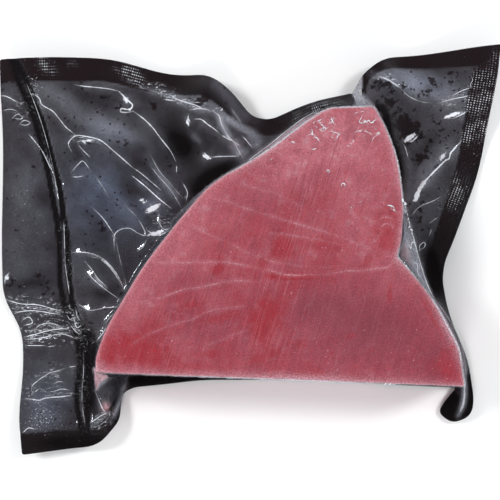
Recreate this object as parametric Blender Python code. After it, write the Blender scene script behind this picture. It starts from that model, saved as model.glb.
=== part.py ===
"""Vacuum-packed raw tuna steak: a sawn slab held between a clear front film and a black back film.

The model is in metres with +Z up. The sizes below are in millimetres. The pack lies on its back film with
the steak's sawn face up. The origin is the middle of the pack's footprint, on the surface that it lies on.
"""
import bmesh
import bpy
import numpy as np
from mathutils import Vector
from mathutils.geometry import delaunay_2d_cdt

MM = 0.001

# Thicknesses, and the clearance that stands for films and meat in contact
STEAK_THICKNESS = 24.5
BACK_FILM = 0.5
FRONT_FILM = 0.4
CLEARANCE = 0.3

# The steak's edges: the small round where a saw cut meets the side, and how far the sides belly out
EDGE_ROUND = 1.2
BELLY = 0.35

# The films leave the steak's flat faces this far out from its side
LIP = 0.7
# How quickly the taut front film drops from the steak's rim to its foot: 1 is a straight slope
WALL_CURVE = 1.3

# Mesh spacing along outlines and folds, over the open margins, and the room kept between the two
EDGE_SPACING = 4.4
FIELD_SPACING = 5.6
FIELD_CLEAR = 2.6

# Points closer than this are one point
SAME_PLACE = 1e-3

# The loosest the films come to the table at the pack's margins
MARGIN_REST = 1.1

# The steak's outline: x, y and how much of the corner is rounded away
STEAK_OUTLINE = [
    (31.0, 56.4, 3.0), (49.2, 57.0, 1.5), (53.6, 49.2, 4.0), (58.4, 37.0, 8.0),
    (61.0, 18.0, 8.0), (60.3, 4.5, 3.0), (58.4, -2.6, 1.0), (67.2, -12.3, 8.0),
    (74.0, -22.0, 8.0), (83.0, -39.0, 4.0), (85.2, -54.2, 1.0), (27.3, -51.9, 20.0),
    (-61.0, -48.7, 0.8), (-61.5, -43.5, 3.0), (-57.5, -31.5, 8.0), (-42.2, -5.9, 8.0),
    (-27.0, 13.4, 8.0), (-15.2, 26.8, 8.0), (5.9, 38.4, 8.0), (22.2, 50.9, 4.0),
]

# The foot, where the front film comes down off the steak and meets the back film:
# x, y, rounding, height of the seam there, and how far out the margin takes to settle
FOOT_OUTLINE = [
    (33.5, 59.3, 3.0, 7.0, 5.0), (42.5, 59.6, 2.0, 7.0, 5.0), (46.6, 65.5, 2.0, 6.0, 6.0),
    (53.0, 58.0, 3.0, 6.5, 10.0), (56.5, 50.5, 5.0, 5.5, 14.0), (61.6, 37.5, 8.0, 5.0, 14.0),
    (63.6, 20.0, 8.0, 5.0, 14.0), (67.8, 4.3, 8.0, 5.0, 12.0), (71.8, -8.3, 6.0, 4.5, 9.0),
    (75.9, -18.6, 6.0, 4.5, 6.0), (80.0, -25.4, 4.0, 4.5, 5.0), (83.5, -32.0, 4.0, 4.0, 4.0),
    (87.0, -38.5, 4.0, 4.0, 4.0), (88.9, -45.0, 4.0, 4.0, 4.0), (89.6, -52.0, 3.0, 4.0, 4.0),
    (89.0, -57.0, 1.0, 3.0, 5.0), (86.0, -56.3, 1.0, 1.3, 2.0), (27.3, -53.6, 20.0, 1.2, 1.3),
    (-49.5, -51.0, 1.5, 1.2, 3.0), (-55.5, -61.5, 2.0, 2.0, 6.0), (-59.8, -67.0, 1.5, 2.5, 6.0),
    (-64.4, -57.0, 3.0, 4.0, 9.0), (-64.4, -43.0, 3.0, 5.5, 14.0), (-60.3, -30.2, 8.0, 6.0, 18.0),
    (-45.2, -4.2, 8.0, 6.0, 20.0), (-29.9, 15.6, 8.0, 6.0, 20.0), (-16.2, 28.3, 8.0, 5.0, 14.0),
    (3.9, 41.0, 8.0, 5.0, 8.0), (20.6, 53.8, 4.0, 6.0, 5.0),
]

# The pouch's cut edge: x, y, rounding
POUCH_OUTLINE = [
    (-103.5, 78.8, 1.0), (-78.6, 79.9, 8.0), (-57.9, 79.6, 8.0), (-33.0, 72.9, 8.0),
    (-17.0, 72.8, 5.0), (-8.2, 66.4, 5.0), (1.0, 55.3, 5.0), (8.5, 54.0, 5.0),
    (24.8, 61.7, 8.0), (42.6, 65.3, 0.8), (46.5, 72.6, 3.0), (55.4, 80.0, 6.0),
    (77.0, 81.6, 10.0), (103.3, 84.8, 0.8), (101.6, 68.0, 6.0), (96.0, 32.4, 10.0),
    (81.0, -5.0, 3.0), (80.2, -12.5, 3.0), (82.9, -27.0, 8.0), (91.4, -46.5, 8.0),
    (93.4, -62.0, 5.0), (92.2, -69.4, 4.0), (84.5, -72.8, 4.0), (78.8, -68.0, 2.5),
    (82.0, -62.5, 3.0), (86.3, -57.6, 0.6), (27.3, -54.7, 20.0), (12.0, -54.4, 8.0),
    (-20.0, -54.2, 8.0), (-35.0, -56.2, 8.0), (-49.0, -57.6, 4.0), (-53.4, -60.0, 3.0), (-54.3, -71.0, 3.0),
    (-63.2, -81.6, 6.0), (-76.0, -82.9, 6.0), (-94.8, -85.2, 1.0), (-96.4, -68.0, 6.0),
    (-94.9, -50.0, 6.0), (-95.4, -34.5, 6.0), (-103.5, -19.0, 6.0), (-103.2, 20.0, 10.0),
    (-103.3, 60.0, 8.0),
]

# Where the clear film alone bridges a gap that the back film's edge leaves beside the steak's point
BACK_NOTCH = [(42.6, 65.4, 0.3), (44.6, 58.8, 0.5), (51.3, 59.6, 0.5), (46.3, 63.9, 1.0), (46.4, 72.9, 0.3)]

# Broad swells of the margins: x, y, radius, height
SWELLS = [
    (-95.0, 78.0, 26.0, 7.0), (-101.0, 8.0, 24.0, 3.5), (-92.0, -82.0, 22.0, 4.0), (-60.0, 72.0, 24.0, 3.0),
    (-12.0, 70.0, 14.0, 6.0), (8.0, 55.0, 12.0, 3.0), (50.0, 76.0, 12.0, 5.0), (98.0, 80.0, 24.0, 9.0),
    (84.0, 2.0, 18.0, 4.0), (92.0, -64.0, 9.0, 6.0), (-58.0, -76.0, 12.0, 5.0), (-72.0, 20.0, 20.0, 2.0),
]

# Creases of the drawn film: height, half width, then the points that the crest follows
FOLDS = [
    (3.4, 5.5, [(-90.3, 64.6), (-80.4, 56.4), (-72.1, 46.8), (-62.6, 45.2), (-47.7, 33.2), (-32.7, 17.8)]),
    (3.2, 5.0, [(-70.4, 68.4), (-54.7, 65.9), (-48.9, 60.5), (-39.4, 50.1), (-30.3, 35.6), (-26.1, 25.0)]),
    (2.4, 4.5, [(-63.8, 29.0), (-52.2, 14.5), (-43.5, 6.6)]),
    (2.6, 4.5, [(-74.6, -0.8), (-66.7, -1.2), (-52.5, -15.0)]),
    (2.0, 4.0, [(-68.8, -7.9), (-61.3, -14.1), (-56.0, -19.0)]),
    (1.8, 4.0, [(-70.4, -25.3), (-60.5, -24.2)]),
    (2.8, 4.0, [(-22.4, 53.5), (-14.5, 48.5), (-5.8, 42.7)]),
    (2.2, 4.0, [(-19.1, 39.0), (-16.6, 37.3), (-5.5, 37.6)]),
    (3.2, 4.5, [(-44.3, 68.0), (-31.1, 63.4), (-13.7, 56.8), (-3.3, 41.0)]),
    (2.4, 4.0, [(-13.7, 55.5), (-2.1, 49.7), (1.5, 43.0)]),
    (3.4, 5.0, [(48.5, 72.0), (53.9, 70.9), (62.6, 68.0), (71.3, 62.2), (89.5, 63.8)]),
    (2.0, 4.0, [(80.0, 55.1), (98.5, 59.5)]),
    (3.6, 5.0, [(86.2, 46.0), (77.5, 35.2), (69.8, 24.5)]),
    (2.0, 4.0, [(-100.5, -22.0), (-91.2, -23.2), (-80.5, -25.5)]),
    (2.0, 4.0, [(-93.5, -35.2), (-80.8, -33.2), (-75.5, -32.0)]),
    (2.6, 3.0, [(-53.6, -60.5), (-55.4, -65.5), (-59.0, -69.5)]),
    (2.0, 2.5, [(89.4, -58.8), (88.8, -63.5), (87.3, -67.0)]),
]

# The pouch's mouth is closed by a double seal: two lines pressed side by side
SEAL_DEPTH = -0.8
SEAL_HALF_WIDTH = 1.5
MOUTH_SEALS = [
    [(-98.0, 79.0), (-92.5, 62.5), (-87.5, 45.5), (-83.5, 29.0), (-80.5, 12.5), (-79.5, -4.0), (-78.0, -21.0),
     (-73.0, -33.0), (-70.5, -45.5), (-72.5, -60.0), (-70.5, -72.5), (-69.0, -78.0)],
    [(-94.5, 75.0), (-89.5, 62.5), (-84.5, 45.5), (-80.0, 29.0), (-77.5, 12.5), (-76.0, -4.0), (-74.5, -21.0),
     (-69.5, -33.0), (-67.5, -45.5), (-68.5, -60.0), (-67.5, -72.5), (-66.5, -78.0)],
]

FLOOR_LEVEL = BACK_FILM + CLEARANCE / 2
STEAK_BASE = BACK_FILM + CLEARANCE
STEAK_TOP = STEAK_BASE + STEAK_THICKNESS
TOP_LEVEL = STEAK_TOP + CLEARANCE / 2


def along(start, end, spacing):
    """Points from start up to, but not including, end, about a spacing apart."""
    length = np.linalg.norm(end[:2] - start[:2])
    count = max(1, int(round(length / spacing))) if length > SAME_PLACE else 0
    return [start + (end - start) * step / count for step in range(count)]


def rounded_loop(corners, spacing, rounding_column=2):
    """Close the corners into a loop, each corner rounded by a curve; other columns are blended along."""
    table = np.array(corners, float)
    rounding = table[:, rounding_column]
    values = np.delete(table, rounding_column, axis=1)
    count = len(values)
    samples = []
    arcs = []
    for index in range(count):
        before = values[index - 1]
        corner = values[index]
        after = values[(index + 1) % count]
        room_before = np.linalg.norm(before[:2] - corner[:2]) / 2
        room_after = np.linalg.norm(after[:2] - corner[:2]) / 2
        reach = min(rounding[index], room_before, room_after)
        start = corner + (before - corner) * reach / (2 * room_before)
        end = corner + (after - corner) * reach / (2 * room_after)
        steps = max(1, int(round(2 * reach / spacing)))
        curve = []
        for step in range(steps + 1):
            t = step / steps
            curve.append((1 - t) ** 2 * start + 2 * t * (1 - t) * corner + t ** 2 * end)
        arcs.append(curve if reach > 1.0 else [corner])
    for index in range(count):
        samples.extend(arcs[index][:-1])
        samples.extend(along(arcs[index][-1], arcs[(index + 1) % count][0], spacing))
    return np.array(samples)


def offset_loop(loop, amount):
    """Move an anticlockwise or clockwise loop outwards by an amount, inwards if it is negative."""
    ahead = np.roll(loop, -1, axis=0) - loop
    behind = loop - np.roll(loop, 1, axis=0)
    tangent = ahead / np.linalg.norm(ahead, axis=1)[:, None] + behind / np.linalg.norm(behind, axis=1)[:, None]
    normal = np.column_stack([tangent[:, 1], -tangent[:, 0]])
    normal /= np.linalg.norm(normal, axis=1)[:, None]
    following = np.roll(loop, -1, axis=0)
    area = np.sum(loop[:, 0] * following[:, 1] - loop[:, 1] * following[:, 0])
    return loop + normal * amount * np.sign(area)


def nearest_on_path(path, points):
    """Distance from each point to a path, and how far along the path its nearest place lies."""
    start = path[:-1]
    step = path[1:] - start
    length = np.linalg.norm(step, axis=1)
    travelled = np.concatenate([[0.0], np.cumsum(length)[:-1]])
    away = points[:, None, :] - start[None, :, :]
    share = np.clip(np.sum(away * step, axis=2) / (length ** 2), 0.0, 1.0)
    gap = np.linalg.norm(away - share[:, :, None] * step, axis=2)
    nearest = np.argmin(gap, axis=1)
    rows = np.arange(len(points))
    return gap[rows, nearest], (travelled + share * length)[rows, nearest]


def inside(loop, points):
    """True for each point that lies within the loop."""
    start = loop
    end = np.roll(loop, -1, axis=0)
    x = points[:, :1]
    y = points[:, 1:2]
    spans = (start[:, 1] > y) != (end[:, 1] > y)
    rise = np.where(end[:, 1] == start[:, 1], 1e-9, end[:, 1] - start[:, 1])
    crossing = start[:, 0] + (y - start[:, 1]) * (end[:, 0] - start[:, 0]) / rise
    return np.sum(spans & (x < crossing), axis=1) % 2 == 1


def outside_distance(loop, points):
    """Distance of each point outside a loop; points within it are negative."""
    closed = np.vstack([loop, loop[:1]])
    gap, _ = nearest_on_path(closed, points)
    return np.where(inside(loop, points), -gap, gap)


def seam_at(foot, points):
    """Seam height and settling reach near each point, blended from the foot's own values."""
    gap = np.linalg.norm(points[:, None, :] - foot[None, :, :2], axis=2) + 0.5
    weight = gap ** -3.0
    blended = weight @ foot[:, 2:] / np.sum(weight, axis=1)[:, None]
    return blended[:, 0], blended[:, 1]


def fold_relief(points):
    """Height that the creases add and the mouth's seal lines take away."""
    relief = np.zeros(len(points))
    for height, half_width, path in FOLDS:
        crest = np.array(path)
        length = np.sum(np.linalg.norm(np.diff(crest, axis=0), axis=1))
        gap, travelled = nearest_on_path(crest, points)
        taper = np.clip(np.minimum(travelled, length - travelled) / half_width, 0.25, 1.0)
        relief += height * taper * np.exp(-gap / half_width * 1.5)
    for path in MOUTH_SEALS:
        gap, _ = nearest_on_path(np.array(path), points)
        relief += SEAL_DEPTH * np.clip(1.0 - gap / SEAL_HALF_WIDTH, 0.0, 1.0)
    return relief


def margin_level(foot, points):
    """Height of the joined films out in the pack's margins."""
    lie = np.full(len(points), MARGIN_REST)
    for x, y, radius, height in SWELLS:
        lie += height * np.exp(-np.sum((points - (x, y)) ** 2, axis=1) / radius ** 2)
    seam, reach = seam_at(foot, points)
    beyond = np.maximum(outside_distance(foot[:, :2], points), 0.0)
    settled = lie + (seam - lie) * np.exp(-beyond / reach)
    fade = np.clip(beyond / 3.0, 0.2, 1.0)
    return np.maximum(settled + fade * fold_relief(points), MARGIN_REST)


def film_levels(steak, foot, points):
    """Heights of the front and the back film's inner faces, midway between where they touch."""
    margin = margin_level(foot, points)
    from_steak = np.maximum(outside_distance(steak, points) - LIP, 0.0)
    to_foot = np.maximum(-outside_distance(foot[:, :2], points), 0.0)
    share = np.where(from_steak + to_foot > 0, from_steak / np.maximum(from_steak + to_foot, 1e-6), 1.0)
    share = np.where(outside_distance(steak, points) < LIP + 0.01, 0.0, share)
    front = margin + (TOP_LEVEL - margin) * (1.0 - share) ** WALL_CURVE
    back = FLOOR_LEVEL + (margin - FLOOR_LEVEL) * share
    return front, back


def field_points(outline, kept_clear):
    """Staggered points over the pouch, clear of the paths that the mesh already follows."""
    low = outline.min(axis=0)
    high = outline.max(axis=0)
    rows = []
    row_step = FIELD_SPACING * 0.87
    for row, y in enumerate(np.arange(low[1], high[1], row_step)):
        shift = FIELD_SPACING / 2 * (row % 2)
        xs = np.arange(low[0] + shift, high[0], FIELD_SPACING)
        rows.append(np.column_stack([xs, np.full(len(xs), y)]))
    points = np.vstack(rows)
    points = points[inside(outline, points)]
    for path in kept_clear:
        gap, _ = nearest_on_path(path, points)
        points = points[gap > FIELD_CLEAR]
    return points


def film_plan(outline, loops, paths):
    """Triangulate the pouch's plan, with the loops and the fold paths as edges of the mesh."""
    closed = [np.vstack([loop, loop[:1]]) for loop in [outline, *loops]]
    field = field_points(outline, closed + paths)
    points = []
    edges = []
    for loop in [outline, *loops]:
        first = len(points)
        points.extend(loop)
        edges.extend((first + i, first + (i + 1) % len(loop)) for i in range(len(loop)))
    for path in paths:
        first = len(points)
        points.extend(path)
        edges.extend((first + i, first + i + 1) for i in range(len(path) - 1))
    points.extend(field)
    flat = [Vector((float(p[0]), float(p[1]))) for p in points]
    found, _, triangles, _, _, _ = delaunay_2d_cdt(flat, edges, [], 0, 1e-4)
    return np.array([tuple(p) for p in found]), np.array([tuple(t) for t in triangles])


def within(loop, plan, triangles):
    """True for each triangle whose middle lies within the loop."""
    return inside(loop, plan[triangles].mean(axis=1))


def vertex_normals(points, triangles):
    """Unit normals at the points, weighted by the area of the triangles round each."""
    a, b, c = points[triangles[:, 0]], points[triangles[:, 1]], points[triangles[:, 2]]
    facing = np.cross(b - a, c - a)
    normals = np.zeros_like(points)
    for column in range(3):
        np.add.at(normals, triangles[:, column], facing)
    length = np.linalg.norm(normals, axis=1)[:, None]
    return normals / np.where(length > 0, length, 1.0)


def plastic(name, colour, roughness, alpha=1.0):
    """A film's or the meat's plain material."""
    material = bpy.data.materials.new(name)
    material.use_nodes = True
    shader = material.node_tree.nodes["Principled BSDF"]
    shader.inputs["Base Color"].default_value = (*colour, 1.0)
    shader.inputs["Roughness"].default_value = roughness
    shader.inputs["Metallic"].default_value = 0.0
    shader.inputs["Alpha"].default_value = alpha
    return material


def link_object(name, mesh, material):
    """Add the mesh to the scene as a named object."""
    mesh.materials.append(material)
    piece = bpy.data.objects.new(name, mesh)
    bpy.context.collection.objects.link(piece)
    return piece


def film_object(name, plan, triangles, level, lower, upper, material):
    """A closed film: its lower and upper faces lie off the level along its own normals."""
    points = np.column_stack([plan, level])
    normals = vertex_normals(points, triangles)
    faces = {"upper": points + normals * upper, "lower": points + normals * lower}
    shell = bmesh.new()
    rows = {side: [None] * len(points) for side in faces}
    for index in np.unique(triangles):
        for side, places in faces.items():
            rows[side][index] = shell.verts.new(places[index] * MM)
    seen = set()
    for a, b, c in triangles:
        shell.faces.new([rows["upper"][i] for i in (a, b, c)])
        shell.faces.new([rows["lower"][i] for i in (c, b, a)])
        seen.update([(a, b), (b, c), (c, a)])
    for a, b in seen:
        if (b, a) not in seen:
            shell.faces.new([rows["upper"][b], rows["upper"][a], rows["lower"][a]])
            shell.faces.new([rows["upper"][b], rows["lower"][a], rows["lower"][b]])
    mesh = bpy.data.meshes.new(name)
    shell.to_mesh(mesh)
    shell.free()
    return link_object(name, mesh, material)


def steak_object(steak, material):
    """The sawn slab: flat faces, lightly rounded edges and sides that belly a little."""
    half_round = EDGE_ROUND * 0.3
    rings = [
        (-EDGE_ROUND, STEAK_BASE), (-half_round, STEAK_BASE + half_round), (0.0, STEAK_BASE + EDGE_ROUND),
        (BELLY, STEAK_BASE + STEAK_THICKNESS / 2), (0.0, STEAK_TOP - EDGE_ROUND),
        (-half_round, STEAK_TOP - half_round), (-EDGE_ROUND, STEAK_TOP),
    ]
    slab = bmesh.new()
    loops = []
    for out, height in rings:
        outline = offset_loop(steak, out)
        loops.append([slab.verts.new((x * MM, y * MM, height * MM)) for x, y in outline])
    for below, above in zip(loops, loops[1:]):
        for i in range(len(below)):
            j = (i + 1) % len(below)
            slab.faces.new((below[i], below[j], above[j], above[i]))
    slab.faces.new(loops[0][::-1])
    slab.faces.new(loops[-1])
    bmesh.ops.recalc_face_normals(slab, faces=slab.faces)
    bmesh.ops.triangulate(slab, faces=slab.faces)
    mesh = bpy.data.meshes.new("tuna_steak")
    slab.to_mesh(mesh)
    slab.free()
    return link_object("tuna_steak", mesh, material)


def split_path(path, spacing):
    """A fold's crest with points a spacing apart."""
    corners = np.array(path)
    samples = []
    for start, end in zip(corners, corners[1:]):
        samples.extend(along(start, end, spacing))
    return np.array([*samples, corners[-1]])


def build():
    """Make the steak, the back film and the front film."""
    for piece in list(bpy.data.objects):
        bpy.data.objects.remove(piece)
    steak = rounded_loop(STEAK_OUTLINE, EDGE_SPACING)
    foot = rounded_loop(FOOT_OUTLINE, EDGE_SPACING)
    pouch = rounded_loop(POUCH_OUTLINE, EDGE_SPACING)
    notch = rounded_loop(BACK_NOTCH, EDGE_SPACING)

    loops = [offset_loop(steak, -1.0), offset_loop(steak, LIP), foot[:, :2]]
    paths = [split_path(path, EDGE_SPACING) for _, _, path in FOLDS]
    paths += [split_path(path, EDGE_SPACING * 1.6) for path in MOUTH_SEALS]
    paths.append(split_path([corner[:2] for corner in BACK_NOTCH], EDGE_SPACING))

    plan, triangles = film_plan(pouch, loops, paths)
    triangles = triangles[within(pouch, plan, triangles)]
    front, back = film_levels(steak, foot, plan)
    backed = triangles[~within(notch, plan, triangles)]

    steak_object(steak, plastic("raw_tuna", (0.46, 0.10, 0.12), 0.45))
    film_object("back_film", plan, backed, back, -CLEARANCE / 2 - BACK_FILM, -CLEARANCE / 2,
                plastic("black_film", (0.012, 0.010, 0.011), 0.25))
    film_object("front_film", plan, triangles, front, CLEARANCE / 2, CLEARANCE / 2 + FRONT_FILM,
                plastic("clear_film", (0.80, 0.83, 0.86), 0.10, alpha=0.3))


build()
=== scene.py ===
"""The looks of a vacuum-packed raw tuna steak: sawn red flesh under clear film, on a black back film.

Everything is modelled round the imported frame, in the frame's own axes. Shapes are worked out in
millimetres on the pack's plan, where x and y are the frame's, and turned to metres as a mesh is made.
"""
import logging
import math
from dataclasses import dataclass, field
from enum import Enum
from typing import Callable

import bmesh
import bpy
import numpy as np
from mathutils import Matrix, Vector, noise


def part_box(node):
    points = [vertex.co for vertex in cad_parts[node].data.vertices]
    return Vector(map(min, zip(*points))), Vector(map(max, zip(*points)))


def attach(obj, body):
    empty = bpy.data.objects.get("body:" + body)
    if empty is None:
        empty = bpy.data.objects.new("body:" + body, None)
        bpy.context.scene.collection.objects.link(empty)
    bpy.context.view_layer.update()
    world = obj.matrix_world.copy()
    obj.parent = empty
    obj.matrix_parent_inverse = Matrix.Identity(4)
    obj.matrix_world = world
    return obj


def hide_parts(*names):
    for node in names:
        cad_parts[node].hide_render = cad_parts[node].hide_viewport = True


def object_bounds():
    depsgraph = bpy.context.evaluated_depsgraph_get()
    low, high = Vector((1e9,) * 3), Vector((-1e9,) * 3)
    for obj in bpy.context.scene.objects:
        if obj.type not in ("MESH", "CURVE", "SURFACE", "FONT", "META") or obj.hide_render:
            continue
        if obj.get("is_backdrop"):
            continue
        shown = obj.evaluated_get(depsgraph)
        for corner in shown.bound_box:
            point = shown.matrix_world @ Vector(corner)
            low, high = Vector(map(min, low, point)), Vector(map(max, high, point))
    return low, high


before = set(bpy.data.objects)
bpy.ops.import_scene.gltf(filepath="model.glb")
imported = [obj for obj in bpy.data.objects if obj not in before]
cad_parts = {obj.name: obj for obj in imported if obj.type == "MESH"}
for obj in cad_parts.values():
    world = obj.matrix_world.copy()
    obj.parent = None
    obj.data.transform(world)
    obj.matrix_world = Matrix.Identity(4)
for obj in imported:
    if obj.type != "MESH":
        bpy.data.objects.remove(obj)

MM = 0.001
# Points worked on at once, to spare memory
CHUNK = 3000
# Stretches in the curve that rounds a corner of an outline
CORNER_STEPS = 6
# A distance beyond anything that shows
FAR = 9.0
# Room between the sawn face and the front film, in millimetres
FILM_CLEAR = 0.12
# How strong the finer lumps of the finishes' noise are
FLESH_GRIT = 0.55
FILM_GRIT = 0.6
log = logging.getLogger("tuna_pack")


# ---------------------------------------------------------------- plan geometry

def rounded_path(corners: list[tuple[float, ...]]) -> np.ndarray:
    """Round each corner of a closed outline by a short curve.

    Args:
        corners: x, y, how much of the corner is rounded away, then any values blended along.

    Returns:
        The outline's points, closed by a repeat of the first, without the rounding column.
    """
    table = np.array(corners, float)
    rounding = table[:, 2]
    values = np.delete(table, 2, axis=1)
    samples = []
    for index, corner in enumerate(values):
        before = values[index - 1]
        after = values[(index + 1) % len(values)]
        room_before = np.linalg.norm(before[:2] - corner[:2]) / 2
        room_after = np.linalg.norm(after[:2] - corner[:2]) / 2
        reach = min(rounding[index], room_before, room_after)
        start = corner + (before - corner) * reach / (2 * room_before)
        end = corner + (after - corner) * reach / (2 * room_after)
        for step in range(CORNER_STEPS + 1):
            t = step / CORNER_STEPS
            samples.append((1 - t) ** 2 * start + 2 * t * (1 - t) * corner + t ** 2 * end)
    samples.append(samples[0])
    path = np.array(samples)
    keep = np.concatenate([[True], np.linalg.norm(np.diff(path[:, :2], axis=0), axis=1) > 1e-4])
    return path[keep]


def path_length(path: np.ndarray) -> float:
    """Measure along a path."""
    return np.sum(np.linalg.norm(np.diff(path[:, :2], axis=0), axis=1))


def nearest_on_path(path: np.ndarray, points: np.ndarray) -> tuple[np.ndarray, np.ndarray, np.ndarray]:
    """Find each point's nearest place on a path.

    Args:
        path: the path's points; columns past x and y are blended along it.
        points: x and y of each point.

    Returns:
        The distance, how far along the path the place lies, and the path's values there.
    """
    start = path[:-1, :2]
    step = path[1:, :2] - start
    square = np.sum(step ** 2, axis=1)
    travelled = np.concatenate([[0.0], np.cumsum(np.sqrt(square))[:-1]])
    gaps, lengths, values = [], [], []
    for first in range(0, len(points), CHUNK):
        some = points[first:first + CHUNK, None, :2] - start[None, :, :]
        share = np.clip(np.sum(some * step, axis=2) / square, 0.0, 1.0)
        gap = np.linalg.norm(some - share[:, :, None] * step, axis=2)
        nearest = np.argmin(gap, axis=1)
        rows = np.arange(len(some))
        part = share[rows, nearest]
        gaps.append(gap[rows, nearest])
        lengths.append(travelled[nearest] + part * np.sqrt(square[nearest]))
        values.append(path[nearest] + (path[nearest + 1] - path[nearest]) * part[:, None])
    return np.concatenate(gaps), np.concatenate(lengths), np.concatenate(values)


def inside(path: np.ndarray, points: np.ndarray) -> np.ndarray:
    """Tell which points lie within a closed path.

    Args:
        path: the closed path's points.
        points: x and y of each point.

    Returns:
        True for each point within it.
    """
    start, end = path[:-1], path[1:]
    rise = np.where(end[:, 1] == start[:, 1], 1e-9, end[:, 1] - start[:, 1])
    slope = (end[:, 0] - start[:, 0]) / rise
    found = []
    for first in range(0, len(points), CHUNK):
        x = points[first:first + CHUNK, :1]
        y = points[first:first + CHUNK, 1:2]
        spans = (start[:, 1] > y) != (end[:, 1] > y)
        found.append(np.sum(spans & (x < start[:, 0] + (y - start[:, 1]) * slope), axis=1) % 2 == 1)
    return np.concatenate(found)


def outside_distance(path: np.ndarray, points: np.ndarray) -> np.ndarray:
    """Measure how far each point lies outside a closed path; points within it are negative."""
    gap, _, _ = nearest_on_path(path, points)
    return np.where(inside(path, points), -gap, gap)


def smooth_step(low: float, high: float, value: np.ndarray) -> np.ndarray:
    """Rise smoothly from 0 at low to 1 at high."""
    t = np.clip((value - low) / (high - low), 0.0, 1.0)
    return t * t * (3.0 - 2.0 * t)


def oval_reach(spot: tuple[float, ...], points: np.ndarray) -> np.ndarray:
    """Square of each point's distance from a turned oval's middle, in half widths of the oval."""
    x, y, long, short, turn = spot[:5]
    angle = math.radians(turn)
    dx, dy = points[:, 0] - x, points[:, 1] - y
    u = (dx * math.cos(angle) + dy * math.sin(angle)) / long
    v = (dy * math.cos(angle) - dx * math.sin(angle)) / short
    return u ** 2 + v ** 2


def blobs(spots: list[tuple[float, ...]], points: np.ndarray) -> np.ndarray:
    """Add up soft oval spots.

    Args:
        spots: x, y, half length, half width, turn in degrees, strength.
        points: x and y of each point.

    Returns:
        The spots' total at each point.
    """
    total = np.zeros(len(points))
    for spot in spots:
        total += spot[5] * np.exp(-oval_reach(spot, points))
    return total


def rough_field(points: np.ndarray, size: float, seed: float, octaves: int = 3) -> np.ndarray:
    """Sample smooth noise, about -1 to 1, whose lumps are about a size across."""
    return np.array([noise.fractal(Vector((x / size, y / size, seed)), 1.0, 2.0, octaves)
                     for x, y in points[:, :2]])


def flowing_line(corners: list[tuple[float, float]], steps: int = 4) -> np.ndarray:
    """Draw a smooth curve through a few points.

    Args:
        corners: the points, in order.
        steps: stretches between two points.

    Returns:
        x and y along the curve, and its direction there.
    """
    table = np.array(corners, float)
    padded = np.vstack([2 * table[0] - table[1], table, 2 * table[-1] - table[-2]])
    samples = []
    for index in range(1, len(table)):
        a, b, c, d = padded[index - 1:index + 3]
        for step in range(steps):
            t = step / steps
            samples.append(0.5 * (2 * b + (c - a) * t + (2 * a - 5 * b + 4 * c - d) * t ** 2
                                  + (3 * b - a - 3 * c + d) * t ** 3))
    samples.append(table[-1])
    line = np.array(samples)
    return np.column_stack([line, np.gradient(line, axis=0)])


def beside_line(line: np.ndarray, points: np.ndarray) -> tuple[np.ndarray, np.ndarray]:
    """Measure points from a flowing line.

    Args:
        line: x, y and direction along the line.
        points: x and y of each point.

    Returns:
        The distance to the line, negative on its right, and the distance to the nearer of its ends along it.
    """
    gap, travelled, place = nearest_on_path(line, points)
    turn = place[:, 2] * (points[:, 1] - place[:, 1]) - place[:, 3] * (points[:, 0] - place[:, 0])
    return np.where(turn < 0.0, -gap, gap), np.minimum(travelled, path_length(line) - travelled)


def patches(spots: list[tuple[float, ...]], points: np.ndarray, ragged: float) -> np.ndarray:
    """Find the strongest of some oval patches with ragged edges; spots are given as for blobs."""
    frayed = 1.0 + ragged * (rough_field(points, 3.2, 8.2) + 0.6 * rough_field(points, 8.0, 2.6, 2))
    strongest = np.zeros(len(points))
    for spot in spots:
        reach = np.sqrt(oval_reach(spot, points)) * frayed
        strongest = np.maximum(strongest, spot[5] * smooth_step(1.5, 0.45, reach))
    return strongest


# ---------------------------------------------------------------- the pack's form

STEAK_OUTLINE = [
    (31.0, 56.4, 3.0), (49.2, 57.0, 1.5), (53.6, 49.2, 4.0), (58.4, 37.0, 8.0),
    (61.0, 18.0, 8.0), (60.3, 4.5, 3.0), (58.4, -2.6, 1.0), (67.2, -12.3, 8.0),
    (74.0, -22.0, 8.0), (83.0, -39.0, 4.0), (85.2, -54.2, 1.0), (27.3, -51.9, 20.0),
    (-61.0, -48.7, 0.8), (-61.5, -43.5, 3.0), (-57.5, -31.5, 8.0), (-42.2, -5.9, 8.0),
    (-27.0, 13.4, 8.0), (-15.2, 26.8, 8.0), (5.9, 38.4, 8.0), (22.2, 50.9, 4.0),
]

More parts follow.
